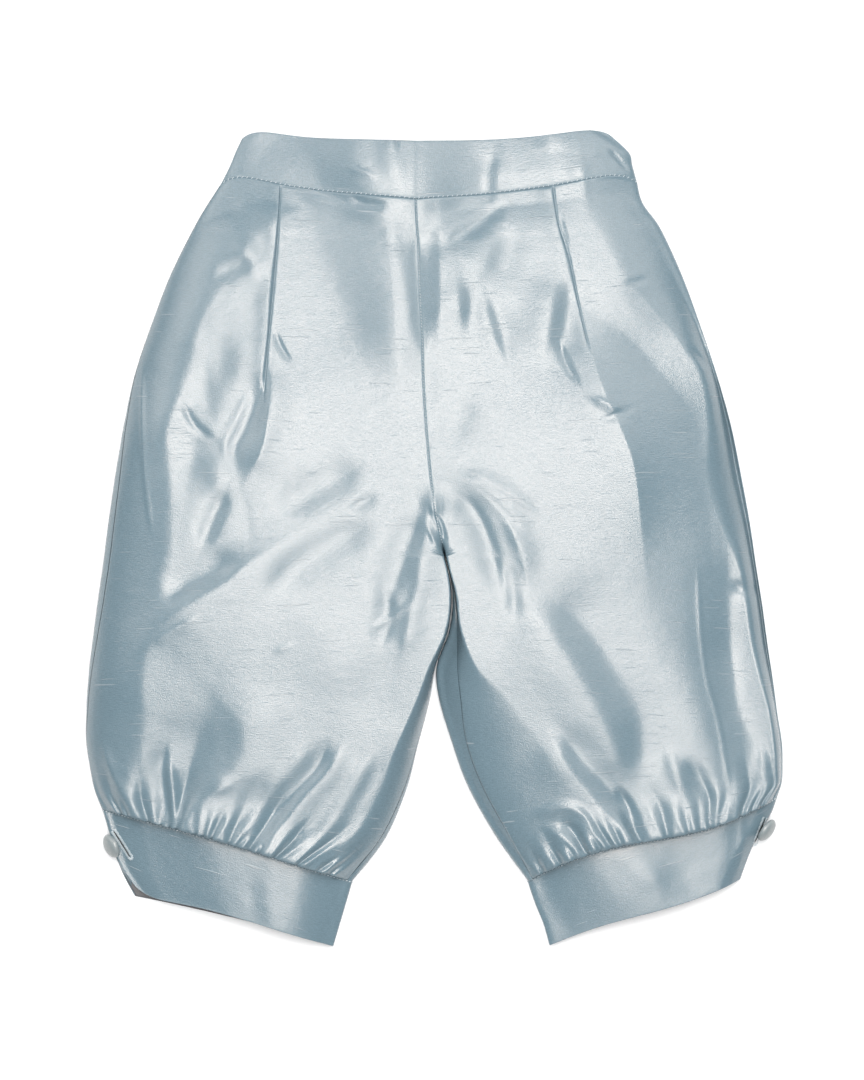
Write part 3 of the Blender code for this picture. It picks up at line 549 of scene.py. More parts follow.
                [(78, -116), (93, -136), (109, -153), (129, -184)], 0.3, 0.05),
    Crease(1.6, 3.0, 5.0, [(58, -176), (81, -170), (95, -175), (101, -188), (101, -203)], 0.3, 0.1, 1.6),
    Crease(2.0, 4.0, 4.0, [(71, -184), (82, -191), (88, -204)], 0.3, 0.0),
    Crease(-1.8, 3.0, 3.0, [(78, -180), (90, -186), (95, -203)], 0.3, 0.0),
    Crease(-1.8, 3.0, 4.0, [(115, -156), (124, -171), (132, -189)], 0.3, 0.0),
    Crease(1.2, 6.0, 6.0, [(147, -130), (155, -154), (160, -184)], 0.3, 0.0),
    Crease(-1.2, 6.0, 6.0, [(161, -136), (169, -161), (173, -180)], 0.3, 0.0),
    Crease(0.8, 4.0, 4.0, [(206, -130), (211, -148), (211, -167)], 0.3, 0.0),
]
# The soft waves of the waistband and of the cuffs, which the legs share at their seams.
BAND_CREASES = [
    *faces_right(2.2, 26.0,
                 [(-47, 262), (-44, 239), (-31, 214)], [(-86, 263), (-83, 243), (-74, 223)], 0.0, 0.0),
    *faces_left(3.0, 30.0,
                [(-15, 259), (-14, 236), (-12, 214)], [(33, 259), (32, 239), (29, 214)], 0.0, 0.0),
    Crease(0.9, 7.0, 7.0, [(44, 244), (40, 230), (42, 218)], 0.3, 0.0),
    Crease(-0.9, 6.0, 8.0, [(37, 249), (35, 232), (34, 217)], 0.3, 0.1),
    Crease(0.9, 8.0, 7.0, [(-27, 257), (-27, 243), (-22, 227)], 0.1, 0.3),
    Crease(0.7, 6.0, 7.0, [(73, 260), (75, 246)], 0.0, 0.4),
    Crease(0.7, 5.0, 7.0, [(93, 243), (95, 228)], 0.3, 0.2),
    Crease(0.5, 2.0, 2.5, [(-57, 237), (-46, 234), (-35, 229)]),
    Crease(-1.0, 1.2, 1.2, [(-24, 255), (-23, 249)], 0.0, 0.4),
    Crease(-1.3, 1.6, 2.2, [(106, 261), (116, 255), (125, 247)], 0.0, 0.2),
    Crease(-1.1, 1.6, 2.2, [(111, 249), (118, 243), (125, 235)], 0.2, 0.2),
]
CUFF_CREASES = {
    "right": [
        *faces_right(3.0, 30.0,
                     [(-143, -184), (-133, -218), (-123, -253)],
                     [(-198, -182), (-191, -213), (-178, -244)], 0.0, 0.0),
        *faces_left(2.8, 29.0,
                    [(-92, -199), (-91, -231), (-95, -263)],
                    [(-40, -213), (-42, -241), (-47, -266)], 0.0, 0.0),
        Crease(0.5, 8.0, 8.0, [(-97, -196), (-105, -225), (-99, -257)], 0.0, 0.0),
        Crease(-0.4, 8.0, 6.0, [(-118, -218), (-114, -234), (-118, -250)], 0.2, 0.0),
    ],
    "left": [
        *faces_right(3.8, 42.0,
                     [(109, -195), (123, -218), (142, -241)],
                     [(42, -218), (46, -237), (51, -263)], 0.0, 0.0),
        *faces_left(1.1, 15.0,
                    [(129, -199), (137, -216), (145, -239)],
                    [(155, -199), (164, -216), (173, -234)], 0.3, 0.1),
        *faces_left(1.4, 15.0,
                    [(180, -177), (182, -199), (178, -223)],
                    [(206, -168), (207, -193), (200, -220)], 0.0, 0.0),
        Crease(0.5, 8.0, 8.0, [(114, -199), (132, -211), (147, -223)], 0.2, 0.2),
        Crease(0.4, 3.0, 3.0, [(196, -177), (196, -196), (195, -215)], 0.2, 0.2),
    ],
}

# Where creases start above the floor, and how much higher they are whole. By a seam the
# legs' own creases are calm, and the creases of the band beyond it run on into the leg.
CROWN_FOOT = 4.5
CROWN_RUN = 6.0
BAND_FOOT = 5.0
BAND_RUN = 4.0
SEAM_CALM = 2.5
SEAM_SHARED = 32.0

# The pressed line of each front, from its dart down the fold below it. The columns of the
# sheet follow it, so that it stays crisp.
PLEAT_LINE = {
    "right": [(-98, 224), (-99, 200), (-102, 160), (-105, 125), (-107, 92), (-110, 70), (-112, 40)],
    "left": [(75.5, 226), (80, 195), (87, 174), (92, 150), (96, 130), (104, 104), (118, 82), (112, 77),
             (121, 62), (127, 44), (132, -26)],
}
PLEAT_LINE_STEP = 1.0
PLEAT_STEPS = (-3.4, -2.2, -1.4, -0.9, -0.5, -0.2, 0.1, 0.4, 0.8, 1.3, 2.0, 3.0)

# The gathers held in by a cuff: their places along its seam from the outer end, how deep,
# how wide, how far up the leg they reach, and how far they lean inwards on the way.
Gather = namedtuple("Gather", "place depth width reach lean", defaults=(0.0,))
GATHERS = {
    "right": [
        Gather(0.097, 2.8, 2.6, 34.0, -2.0),
        Gather(0.126, 1.8, 1.8, 18.0),
        Gather(0.206, 3.2, 3.0, 46.0, -3.0),
        Gather(0.250, 1.6, 1.8, 18.0, 2.0),
        Gather(0.285, 2.0, 2.0, 26.0),
        Gather(0.316, 3.4, 3.0, 62.0, 3.0),
        Gather(0.390, 2.2, 1.8, 24.0, -2.0),
        Gather(0.417, 2.8, 2.0, 30.0, -1.0),
        Gather(0.449, 3.0, 1.8, 26.0, 2.0),
        Gather(0.518, 3.0, 2.6, 34.0),
        Gather(0.555, 1.6, 1.6, 16.0, 2.0),
        Gather(0.600, 3.4, 3.4, 56.0, 3.0),
        Gather(0.640, 2.6, 2.0, 26.0, -2.0),
        Gather(0.700, 2.8, 2.4, 36.0, 6.0),
        Gather(0.790, 3.0, 2.2, 44.0, 9.0),
        Gather(0.870, 2.2, 2.0, 28.0, 6.0),
        Gather(0.920, 2.4, 2.4, 32.0, 4.0),
    ],
    "left": [
        Gather(0.050, 2.4, 2.0, 30.0, 1.0),
        Gather(0.110, 2.8, 2.4, 40.0, 2.0),
        Gather(0.150, 1.4, 1.6, 16.0),
        Gather(0.190, 3.0, 2.6, 44.0, 1.0),
        Gather(0.275, 2.0, 2.0, 26.0),
        Gather(0.310, 3.0, 2.2, 48.0, 4.0),
        Gather(0.345, 2.4, 1.8, 26.0, 3.0),
        Gather(0.390, 2.6, 2.2, 34.0, 4.0),
        Gather(0.470, 2.8, 2.4, 38.0, 3.0),
        Gather(0.570, 3.2, 2.0, 30.0, 5.0),
        Gather(0.592, 2.0, 1.4, 16.0),
        Gather(0.640, 2.6, 2.0, 26.0, 3.0),
        Gather(0.680, 2.8, 2.2, 34.0, 5.0),
        Gather(0.720, 2.4, 1.8, 24.0, 2.0),
        Gather(0.770, 2.8, 2.2, 32.0, 4.0),
        Gather(0.820, 2.4, 2.4, 26.0, 2.0),
        Gather(0.880, 3.0, 2.6, 30.0),
        Gather(0.950, 2.6, 2.2, 24.0),
    ],
}

# How high the legs puff up beyond the waistband and the cuffs, and over what length, and
# the form of a gather: a narrow furrow with a low crest on each side.
CUFF_CROWN = 23.7
CUFF_START = 0.6
WAIST_CROWN = 15.0
WAIST_START = 0.5
CREST = 0.22
CREST_APART = 1.7
GATHER_SHARE = 0.62
GATHER_DEPTH = 0.95
GATHER_WIDTH = 0.6
GATHER_SPREAD = 1.6
GATHER_CRISP = 1.4

# How far the edges of a sheet are turned down at its seams.
SEAM_SINK = 0.26
SIDE_SINK = 0.8
SEAM_WIDTH = 0.5


def leg_places(step):
    """The rows of a leg's sheets, as places in its table and as distances down the leg."""
    table = np.array(RIGHT_LEG)
    run = lengths_along((table[:, 0:2] + table[:, 2:4]) / 2)
    downs = fine_fractions(run[-1], step) * run[-1]
    return np.interp(downs, run, np.arange(len(table))), downs


def smooth_lofts(places):
    """The height of the legs' dome at each row."""
    return np.array([smooth_row(LIFTS, place).loft for place in places])


def pleat_places(side, places):
    """Where the pressed line of a front crosses each of its rows, as a distance along it."""
    line = curve_through(PLEAT_LINE[side], PLEAT_LINE_STEP)
    spots = []
    for place in places:
        loop = leg_loop(side, place)[1]
        below = (line - loop.outer) @ loop.down
        number = int(np.argmin(np.abs(below)))
        across = (line[number] - loop.outer) @ loop.across
        dome = loop.run >= 0
        spots.append(np.interp(across, loop.curve[dome, 0], loop.run[dome]))
    return np.array(spots)


def front_rows(side, places):
    """The rows of one front on the plain form of its leg, with each point's share of the way
    from the side seam to the inner edge and its distance round the leg."""
    near = np.array(SEAM_STEPS[::FINENESS])
    pleat_steps = np.array(PLEAT_STEPS[::FINENESS])
    before, after = None, None
    rows, shares, threads = [], [], []
    for place, pleat in zip(places, pleat_places(side, places)):
        row, loop = leg_loop(side, place)
        start = row.side_seam
        end = loop.front_length if loop.is_open else loop.seam_length + row.inseam
        if before is None:
            share = (pleat - start) / (end - start)
            before = max(int(LEG_WIDTH * share / (LEG_STEP * FINENESS)), LEAST_COLUMNS)
            after = max(int(LEG_WIDTH * (1 - share) / (LEG_STEP * FINENESS)), LEAST_COLUMNS)
        outer = np.linspace(start + near[-1], pleat + PLEAT_STEPS[0], before)[1:-1]
        inner = np.linspace(pleat + PLEAT_STEPS[-1], end - near[-1], after)[1:-1]
        distances = np.concatenate((start + near, outer, pleat + pleat_steps, inner, end - near[::-1]))
        across, height = loop.at(distances)
        rows.append(loop.place(across, height, row_bend(side, place, across / loop.width)))
        shares.append((distances - start) / (end - start))
        threads.append(distances)
    return np.array(rows), np.array(shares), np.array(threads)


def past_row(side, place, points):
    """How far points lie down the leg from one of its rows, less than 0 above it."""
    loop = leg_loop(side, place)[1]
    spots = points[..., :2] - loop.outer
    across = np.clip(spots @ loop.across / loop.width, 0.0, 1.0)
    return spots @ loop.down - row_bend(side, place, across)


def gathered(side, shares, away):
    """What the gathers add to the height of a front, at distances away from its cuff."""
    width = leg_loop(side, CUFF_ROW)[1].width
    total = np.zeros_like(away)
    for gather in GATHERS[side]:
        part = away / (GATHER_SHARE * gather.reach)
        beside = (shares - gather.place) * width - gather.lean * part
        beside /= GATHER_WIDTH * gather.width * (1 + GATHER_SPREAD * part)
        fold = CREST * (np.exp(-((beside - CREST_APART) ** 2)) + np.exp(-((beside + CREST_APART) ** 2)))
        fold -= np.exp(-(np.abs(beside) ** GATHER_CRISP))
        total += GATHER_DEPTH * gather.depth * fold * np.exp(-(part**2))
    return total


def front_panel(side):
    """The points of one front, from its waist seam to its cuff seam."""
    places, downs = leg_places(ROW_STEP)
    points, shares, threads = front_rows(side, places)
    crown = smooth_lofts(places)[:, None]
    on_crown = smoothly((points[..., 2] - CROWN_FOOT) / CROWN_RUN)
    domed = smoothly((points[..., 2] - CROWN_FOOT) / (crown - CROWN_FOOT))
    away = np.maximum(-past_row(side, CUFF_ROW, points), 0.0)
    below = np.maximum(past_row(side, 0, points), 0.0)
    from_cuff = np.maximum(CUFF_CROWN - crown, 0.0) * (1 - np.exp(-away / CUFF_START))
    from_waist = np.maximum(WAIST_CROWN - crown, 0.0) * (1 - np.exp(-below / WAIST_START))
    puff = domed * np.where(downs[:, None] > downs[-1] / 2, from_cuff, from_waist)
    puff += on_crown * gathered(side, shares, away)
    folds = crease_lift(points, LEG_CREASES, CROWN_FOOT, CROWN_RUN)
    folds *= smoothly(below / SEAM_CALM) * smoothly(away / SEAM_CALM)
    for creases, beyond in ((BAND_CREASES, below), (CUFF_CREASES[side], away)):
        shared = smoothly(1 - beyond / SEAM_SHARED)
        folds += crease_lift(points, creases, BAND_FOOT, BAND_RUN) * shared
    points[..., 2] += folds + puff
    return points, threads, downs


def sink_seams(points, places):
    """Turns the four edges of a sheet down a little, where it is sewn to its neighbours."""
    deep = np.where(places < CROTCH_ROW, SEAM_SINK, SIDE_SINK)[:, None]
    for axis, depths in ((0, (SEAM_SINK, SEAM_SINK)), (1, (SIDE_SINK, deep))):
        steps = np.linalg.norm(np.diff(points, axis=axis), axis=2)
        start = np.zeros_like(np.take(steps, [0], axis=axis))
        inward = np.concatenate((start, np.cumsum(steps, axis=axis)), axis=axis)
        outward = np.take(inward, [-1], axis=axis) - inward
        for distance, depth in zip((inward, outward), depths):
            points[..., 2] -= depth * np.exp(-((distance / SEAM_WIDTH) ** 2))


def back_panel(side):
    """The points of one back, from its waist seam to its cuff seam."""
    places, downs = leg_places(ROW_STEP * BACK_COARSENESS)
    columns = fine_fractions(LEG_WIDTH, LEG_STEP * BACK_COARSENESS)
    rows = []
    for place in places:
        row, loop = leg_loop(side, place)
        start = row.side_seam
        end = -loop.back_length
        if not loop.is_open:
            end += row.inseam - (loop.front_length - loop.seam_length)
        across, height = loop.at(start + columns * (end - start))
        rows.append(loop.place(across, height, row_bend(side, place, across / loop.width)))
    return np.array(rows), columns, downs


def half_band(side, row, fractions):
    """One side of the waistband at a row, from the centre back round to the centre front."""
    outer = (getattr(row, side + "_x"), getattr(row, side + "_y"))
    dome = Dome(row.loft, WAIST_RISE[side], WAIST_RISE[side], row.loft, 0.0)
    loop = Loop(outer, (row.centre_x, row.centre_y), dome, is_open=True)
    distances = -loop.back_length + fractions * (loop.front_length + loop.back_length)
    across, height = loop.at(distances)
    return loop.place(across, height, -row.shoulder * shoulder(across / loop.width))


def waistband():
    """The band above the legs, a ring that is open at its upper edge."""
    fractions = fine_fractions(BAND_WIDTH, BAND_STEP)
    rows = []
    for place in fine_fractions(BAND_DEPTH, BAND_STEP) * (len(WAISTBAND) - 1):
        row = smooth_row(WAISTBAND, place)
        right = half_band("right", row, fractions)
        left = half_band("left", row, fractions)
        rows.append(np.vstack((right[1:], left[-2::-1])))
    points = np.array(rows)
    points[..., 2] += crease_lift(points, BAND_CREASES, BAND_FOOT, BAND_RUN)
    return points


def cuff(side):
    """The points of one cuff, a ring from its gathered seam to its hem."""
    table = CUFFS[side]
    rows = []
    for place in fine_fractions(CUFF_DEPTH, BAND_STEP) * (len(table) - 1):
        row = smooth_row(table, place)
        dome = Dome(row.loft, *CUFF_RISE[side], EDGE_ROLL, EDGE_ROLL)
        loop = Loop((row.outer_x, row.outer_y), (row.inner_x, row.inner_y), dome)
        share = 1.0 - (1.0 - HEM_BEND[side]) * place / (len(table) - 1)
        count = int(CUFF_WIDTH / (BAND_STEP * FINENESS))
        front = np.linspace(0.0, loop.front_length, count, endpoint=False)
        back = np.linspace(-loop.back_length, 0.0, count, endpoint=False)
        distances = np.concatenate((front, back))
        across, height = loop.at(distances)
        part = across / loop.width
        points = loop.place(across, height, share * cuff_bend(side, part))
        part = np.maximum(part, 0.0)
        hang = row.drop * np.minimum(part / DROP_REACH, 1.0) * (1 - part) ** DROP_FADE
        points[:, 1] -= np.where(distances < 0, hang, -row.shoulder * shoulder(part))
        rows.append(points)
    points = np.array(rows)
    points[..., 2] += crease_lift(points, CUFF_CREASES[side], BAND_FOOT, BAND_RUN)
    return points


def new_piece(name, points, faces, weave):
    """An object from points and faces, with a map of its weave for the corners of its faces."""
    data = bpy.data.meshes.new(name)
    data.from_pydata((points.reshape(-1, 3) * MM).tolist(), [], faces)
    data.uv_layers.new(name="weave").data.foreach_set("uv", (weave * MM).ravel())
    data.shade_smooth()
    piece = bpy.data.objects.new(name, data)
    bpy.context.scene.collection.objects.link(piece)
    return piece


def sheet_object(name, points, across, down, flip, is_ring=False):
    """A sheet of cloth as a grid of faces that look outwards, with a map of its weave."""
    rows, columns = points.shape[:2]
    index = np.arange(rows * columns).reshape(rows, columns)
    across = np.broadcast_to(across, points.shape[:2])
    down = np.broadcast_to(np.asarray(down)[:, None], points.shape[:2])
    weave = np.stack((across, down), axis=-1)
    if is_ring:
        index = np.hstack((index, index[:, :1]))
        closing = weave[:, -1:] + (weave[:, -1:] - weave[:, -2:-1])
        weave = np.hstack((weave, closing))
    first, last = slice(None, -1), slice(1, None)
    corners = [(first, first), (last, first), (last, last), (first, last)]
    if flip:
        corners = corners[::-1]
    faces = np.stack([index[corner] for corner in corners], axis=-1).reshape(-1, 4)
    spots = np.stack([weave[corner] for corner in corners], axis=-2)
    return new_piece(name, points, faces.tolist(), spots)


def unit(vectors):
    """The vectors at length 1."""
    return vectors / np.linalg.norm(vectors, axis=-1, keepdims=True)


def line_at(spots, run, line):
    """Places on a line in space, at distances along it."""
    return np.column_stack([np.interp(spots, run, line[:, axis]) for axis in range(3)])


def resample(line, pitch):
    """Places every pitch along a line in space, the line's way at each and its distance."""
    run = lengths_along(line)
    spots = np.arange(pitch / 2, run[-1], pitch)
    ahead = line_at(spots + pitch / 4, run, line)
    behind = line_at(spots - pitch / 4, run, line)
    return line_at(spots, run, line), unit(ahead - behind), spots


# A run of stitches: how far apart they are, their length, their radius, how many degrees they
# lean from the seam and how high they stand on the cloth.
Sewing = namedtuple("Sewing", "pitch length radius lean height")
WAIST_SEWING = Sewing(3.1, 1.9, 0.2, 48.0, 0.1)
CUFF_SEWING = Sewing(2.2, 1.4, 0.3, 24.0, 0.3)
FRONT_SEWING = Sewing(1.9, 1.3, 0.2, 14.0, 0.14)
STITCH_RINGS = ((-1.0, 0.2), (-0.72, 0.8), (0.0, 1.0), (0.72, 0.8), (1.0, 0.2))
STITCH_SIDES = 6

# How unevenly the stitches lie, the row or column of a sheet that tells its inner side from
# its seam, and the row of the legs where the centre seams end.
STITCH_WOBBLE = 0.09
STITCH_WAVE = 2.9
LIP_WAVE = 2.3
INNER_ROW = 4
INNER_COLUMN = -6
STITCHED_END = CROTCH_ROW - 0.3


def stitch_points(middles, ways, ups, length, radius):
    """The points of a set of stitches, each a small spindle of thread."""
    beside = np.cross(ups, ways)
    rings = []
    for place, share in STITCH_RINGS:
        for side in range(STITCH_SIDES):
            turn = 2 * math.pi * side / STITCH_SIDES
            spot = middles + ways * place * length / 2
            spot = spot + (beside * math.cos(turn) + ups * math.sin(turn)) * share * radius
            rings.append(spot)
    points = np.stack(rings, axis=1)
    points[..., 2] = np.maximum(points[..., 2], 0.0)
    return points


def seam_stitches(line, inner, centre, sewing):
    """Stitches along a seam, leaning over the cloth on its inner side."""
    middles, ways, spots = resample(line, sewing.pitch)
    inward = line_at(spots, lengths_along(line), inner - line)
    ups = unit(np.cross(ways, inward))
    ups *= np.sign(((middles - centre) * ups).sum(axis=1))[:, None]
    lean = math.radians(sewing.lean) + STITCH_WOBBLE * np.sin(spots * STITCH_WAVE)
    across = np.cross(ups, ways)
    leaning = ways * np.cos(lean)[:, None] + across * np.sin(lean)[:, None]
    middles = middles + ups * sewing.height
    return stitch_points(middles, leaning, ups, sewing.length, sewing.radius)


def thread_object(name, sets, material, slot):
    """One object from sets of stitches."""
    points = np.vstack(sets)
    index = np.arange(points.size // 3).reshape(len(points), len(STITCH_RINGS), STITCH_SIDES)
    turned = np.roll(index, -1, axis=2)
    quads = np.stack((index[:, :-1], turned[:, :-1], turned[:, 1:], index[:, 1:]), axis=-1)
    faces = quads.reshape(-1, 4).tolist()
    faces += index[:, 0, ::-1].tolist()
    faces += index[:, -1].tolist()
    corners = [corner for face in faces for corner in face]
    piece = new_piece(name, points, faces, points.reshape(-1, 3)[corners, :2])
    dress(piece, material, slot)


# The weave: how many threads, flecks and puckers a metre holds across and along the cloth,
# how fine their detail is, and how strongly they show.
Threads = namedtuple("Threads", "scale detail")
WEFT = Threads((280.0, 1700.0, 1.0), 2.0)
GRAIN = Threads((1300.0, 1500.0, 1.0), 2.0)
FLECK = Threads((34.0, 800.0, 1.0), 0.0)
PUCKER = Threads((70.0, 110.0, 1.0), 1.0)
WEFT_SHARE = 0.5
GRAIN_SHARE = 0.5
SLUB_START = 0.848
SLUB_END = 0.884
SLUB_HEIGHT = 0.6
PUCKER_HEIGHT = 0.7
THREAD_HEIGHT = 0.0002

# The colours and the gloss of the silks.
SILK = (0.151, 0.222, 0.262)
# A dark silk for the inner faces of the bands: painted shade for the inside of their flat tubes, which
# gets little light.
PAINTED_SHADE_COLOUR = (0.05, 0.062, 0.075)
PALE_THREAD = (0.56, 0.63, 0.66)
PALE_SILK = (0.25, 0.29, 0.3)
# The slit of a buttonhole: a near black that paints the shade inside it.
SLIT_PAINTED_SHADE = (0.012, 0.02, 0.024)
SLUB_COLOUR = (0.25, 0.31, 0.345, 1.0)
SILK_TINT = (0.98, 0.87, 0.79, 1.0)
SILK_GLOSS = 1.0
DARK_THREAD = 0.7
LIGHT_THREAD = 1.27
THREAD_GLOSS = 0.14


def connect(tree, node, sockets):
    """Sets sockets of a node, by name or number, to values or to links from other nodes."""
    for name, value in sockets.items():
        if isinstance(value, bpy.types.NodeSocket):
            tree.links.new(value, node.inputs[name])
        else:
            node.inputs[name].default_value = value


def put(tree, kind, sockets, **settings):
    """The outputs of a new node with these settings and sockets."""
    node = tree.nodes.new(kind)
    for name, value in settings.items():
        setattr(node, name, value)
    connect(tree, node, sockets)
    return node.outputs


def thread_noise(tree, spot, threads):
    """A noise on the cloth's own map, stretched by its scale across and along."""
    stretched = put(tree, "ShaderNodeMapping", {"Vector": spot["UV"], "Scale": threads.scale})
    sockets = {"Vector": stretched["Vector"], "Scale": 1.0, "Detail": threads.detail}
    return put(tree, "ShaderNodeTexNoise", sockets, noise_dimensions="2D")["Fac"]


def times(tree, first, second):
    """The product of two sockets or numbers."""
    return put(tree, "ShaderNodeMath", {0: first, 1: second}, operation="MULTIPLY")["Value"]


def plus(tree, first, second):
    """The sum of two sockets or numbers."""
    return put(tree, "ShaderNodeMath", {0: first, 1: second}, operation="ADD")["Value"]


def between(tree, share, first, second):
    """A colour between two, each a socket or a colour."""
    sockets = {"Factor": share, "A": first, "B": second}
    return put(tree, "ShaderNodeMix", sockets, data_type="RGBA")["Result"]


def weave_group():
    """Dupion: fine uneven threads across the cloth, with a thick slub here and there."""
    group = bpy.data.node_groups.new("dupion weave", "ShaderNodeTree")
    for name in ("Slub Height", "Pucker Height"):
        group.interface.new_socket(name, in_out="INPUT", socket_type="NodeSocketFloat")
    for name in ("Thread", "Slub", "Relief"):
        group.interface.new_socket(name, in_out="OUTPUT", socket_type="NodeSocketFloat")
    heights = group.nodes.new("NodeGroupInput").outputs
    spot = put(group, "ShaderNodeUVMap", {}, uv_map="weave")
    weft = times(group, thread_noise(group, spot, WEFT), WEFT_SHARE)
    grain = times(group, thread_noise(group, spot, GRAIN), GRAIN_SHARE)
    thread = plus(group, weft, grain)
    fleck = thread_noise(group, spot, FLECK)
    sockets = {"Value": fleck, "From Min": SLUB_START, "From Max": SLUB_END}
    slub = put(group, "ShaderNodeMapRange", sockets)["Result"]
    relief = plus(group, thread, times(group, slub, heights["Slub Height"]))
    pucker = thread_noise(group, spot, PUCKER)
    relief = plus(group, relief, times(group, pucker, heights["Pucker Height"]))
    put(group, "NodeGroupOutput", {"Thread": thread, "Slub": slub, "Relief": relief})
    return group


WEAVE = weave_group()


def silk(name, colour, roughness):
    """Silk dupion of a colour, with darker and lighter threads and pale slubs."""
    material = bpy.data.materials.new(name)
    material.use_nodes = True
    tree = material.node_tree
    heights = {"Slub Height": SLUB_HEIGHT, "Pucker Height": PUCKER_HEIGHT}
    weave = put(tree, "ShaderNodeGroup", heights, node_tree=WEAVE)
    thread, slub, relief = (weave[part] for part in ("Thread", "Slub", "Relief"))
    dark, light = ((*(share * value for value in colour), 1.0) for share in (DARK_THREAD, LIGHT_THREAD))
    gloss = plus(tree, times(tree, thread, THREAD_GLOSS), roughness - THREAD_GLOSS / 2)
    bump = put(tree, "ShaderNodeBump", {"Height": relief, "Distance": THREAD_HEIGHT})
    connect(tree, tree.nodes["Principled BSDF"], {
        "Base Color": between(tree, slub, between(tree, thread, dark, light), SLUB_COLOUR),
        "Roughness": gloss,
        "Specular IOR Level": SILK_GLOSS,
        "Specular Tint": SILK_TINT,
        "Normal": bump["Normal"],
    })
    return material


FABRIC = silk("leg silk", SILK, roughness=0.235)
PAINTED_SHADE_SILK = silk("inner silk in painted shade", PAINTED_SHADE_COLOUR, roughness=0.5)
THREAD = silk("stitch thread", PALE_THREAD, roughness=0.42)
BUTTON_SILK = silk("button silk", PALE_SILK, roughness=0.3)
SLIT_SHADE = silk("slit shade", SLIT_PAINTED_SHADE, roughness=0.7)


def dress(piece, material, slot, *nodes):
    """Gives a piece its material and its body, and hides the solids that it stands for.
    Its slot is not used.
    """
    piece.data.materials.append(material)
    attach(piece, "root")
    if nodes:
        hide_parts(*nodes)


def make_legs():
    """The two fronts and the two backs."""
    for side in SIDES:
        points, threads, downs = front_panel(side)
        sink_seams(points, leg_places(ROW_STEP)[0])
        piece = sheet_object("front_silk_" + side, points, threads, -downs, side == "left")
        dress(piece, FABRIC, "silk", "front_" + side)
        points, columns, downs = back_panel(side)
        piece = sheet_object("back_silk_" + side, points, columns * LEG_WIDTH, -downs, side == "right")
        dress(piece, FABRIC, "silk", "back_" + side)


def make_band(name, node, points, flat, flip):
    """A waistband or a cuff, of two layers. Its flat depth is less than 0 where its rows run
    down the garment."""
    width = np.arange(points.shape[1]) / points.shape[1] * flat[0]
    piece = sheet_object(name, points, width, np.linspace(0.0, flat[1], len(points)), flip, is_ring=True)
    dress(piece, FABRIC, "band_silk", node)
    # The inner faces of the two layers take the dark silk, painted shade for the inside of the tube.
    piece.data.materials.append(PAINTED_SHADE_SILK)
    wall = piece.modifiers.new("inner layer", "SOLIDIFY")
    wall.thickness = BAND_CLOTH * MM
    wall.offset = -1.0
    wall.material_offset = 1


def sew_ring(name, points, sewing):
    """The stitches round the seam of a band."""
    line = np.vstack((points[0], points[0, :1]))
    inner = np.vstack((points[INNER_ROW], points[INNER_ROW, :1]))
    stitches = seam_stitches(line, inner, points.mean(axis=(0, 1)), sewing)
    thread_object(name, [stitches], THREAD, "band_silk")


def make_bands():
    """The waistband and the two cuffs, with their stitches and buttonholes."""
    points = waistband()
    make_band("waistband_silk", "waistband", points, (2 * BAND_WIDTH, BAND_DEPTH), True)
    sew_ring("waist_stitches", points, WAIST_SEWING)
    for side in SIDES:
        points = cuff(side)
        flat = (2 * CUFF_WIDTH, -CUFF_DEPTH)
        make_band("cuff_silk_" + side, "cuff_" + side, points, flat, side == "left")
        sew_ring("cuff_stitches_" + side, points, CUFF_SEWING)
        make_buttonhole(side, points[:, : points.shape[1] // 2])


def centre_stitches(points, step, outward):
    """Stitches along the centre edge of a front or a back, on its outer side."""
    above = leg_places(step)[0] < STITCHED_END
    centre = points[above].mean(axis=(0, 1)) - (0.0, 0.0, outward * 2 * WAIST_LOFT)
    return seam_stitches(points[above, -1], points[above, INNER_COLUMN], centre, FRONT_SEWING)


def make_centre_stitches():
    """The stitches down the centre front and up the centre back."""
    front = centre_stitches(front_panel("right")[0], ROW_STEP, 1.0)
    back = centre_stitches(back_panel("right")[0], ROW_STEP * BACK_COARSENESS, -1.0)
    thread_object("centre_stitches", [front, back], THREAD, "silk")


# The buttonholes, each a slit in the front of a cuff, from its outer to its inner end,
# with stitches over its two lips, a bar of them round the inner end, and a dark spindle of
# painted shade along the slit.
BUTTONHOLES = {
    "right": ((-205.0, -186.5), (-194.0, -203.5)),
    "left": ((211.5, -178.0), (205.5, -194.5)),
}
SLIT_WIDTH = 0.5
SLIT_SHARES = (0.25, 0.5, 0.75)
LIP_PITCH = 0.62
LIP_LENGTH = 1.9
LIP_RADIUS = 0.27
LIP_AWAY = 1.15
BAR_STITCHES = 7
NEAR_POINTS = 6
NEAR_BLUR = 0.01


def surface_at(points, spots):
    """The heights and normals of a sheet at places on the floor plan."""
    ways = unit(np.cross(np.gradient(points, axis=0), np.gradient(points, axis=1)))
    ways = (ways * np.sign(ways[..., 2:])).reshape(-1, 3)
    flat = points.reshape(-1, 3)
    heights, normals = [], []
    for spot in spots:
        away = ((flat[:, :2] - spot) ** 2).sum(axis=1)
        near = np.argsort(away)[:NEAR_POINTS]
        share = 1 / (away[near] + NEAR_BLUR)
        share /= share.sum()
        heights.append(share @ flat[near, 2])
        normals.append(share @ ways[near])
    return np.array(heights), unit(np.array(normals))


def lie_on(points, spots, ways, length=LIP_LENGTH, radius=LIP_RADIUS):
    """Stitches that lie on a sheet, at places on the floor plan and the ways they point."""
    heights, ups = surface_at(points, spots)
    middles = np.column_stack((spots, heights))
    ways = np.column_stack((ways, np.zeros(len(ways))))
    ways = unit(ways - ups * (ways * ups).sum(axis=1)[:, None])
    return stitch_points(middles, ways, ups, length, radius)


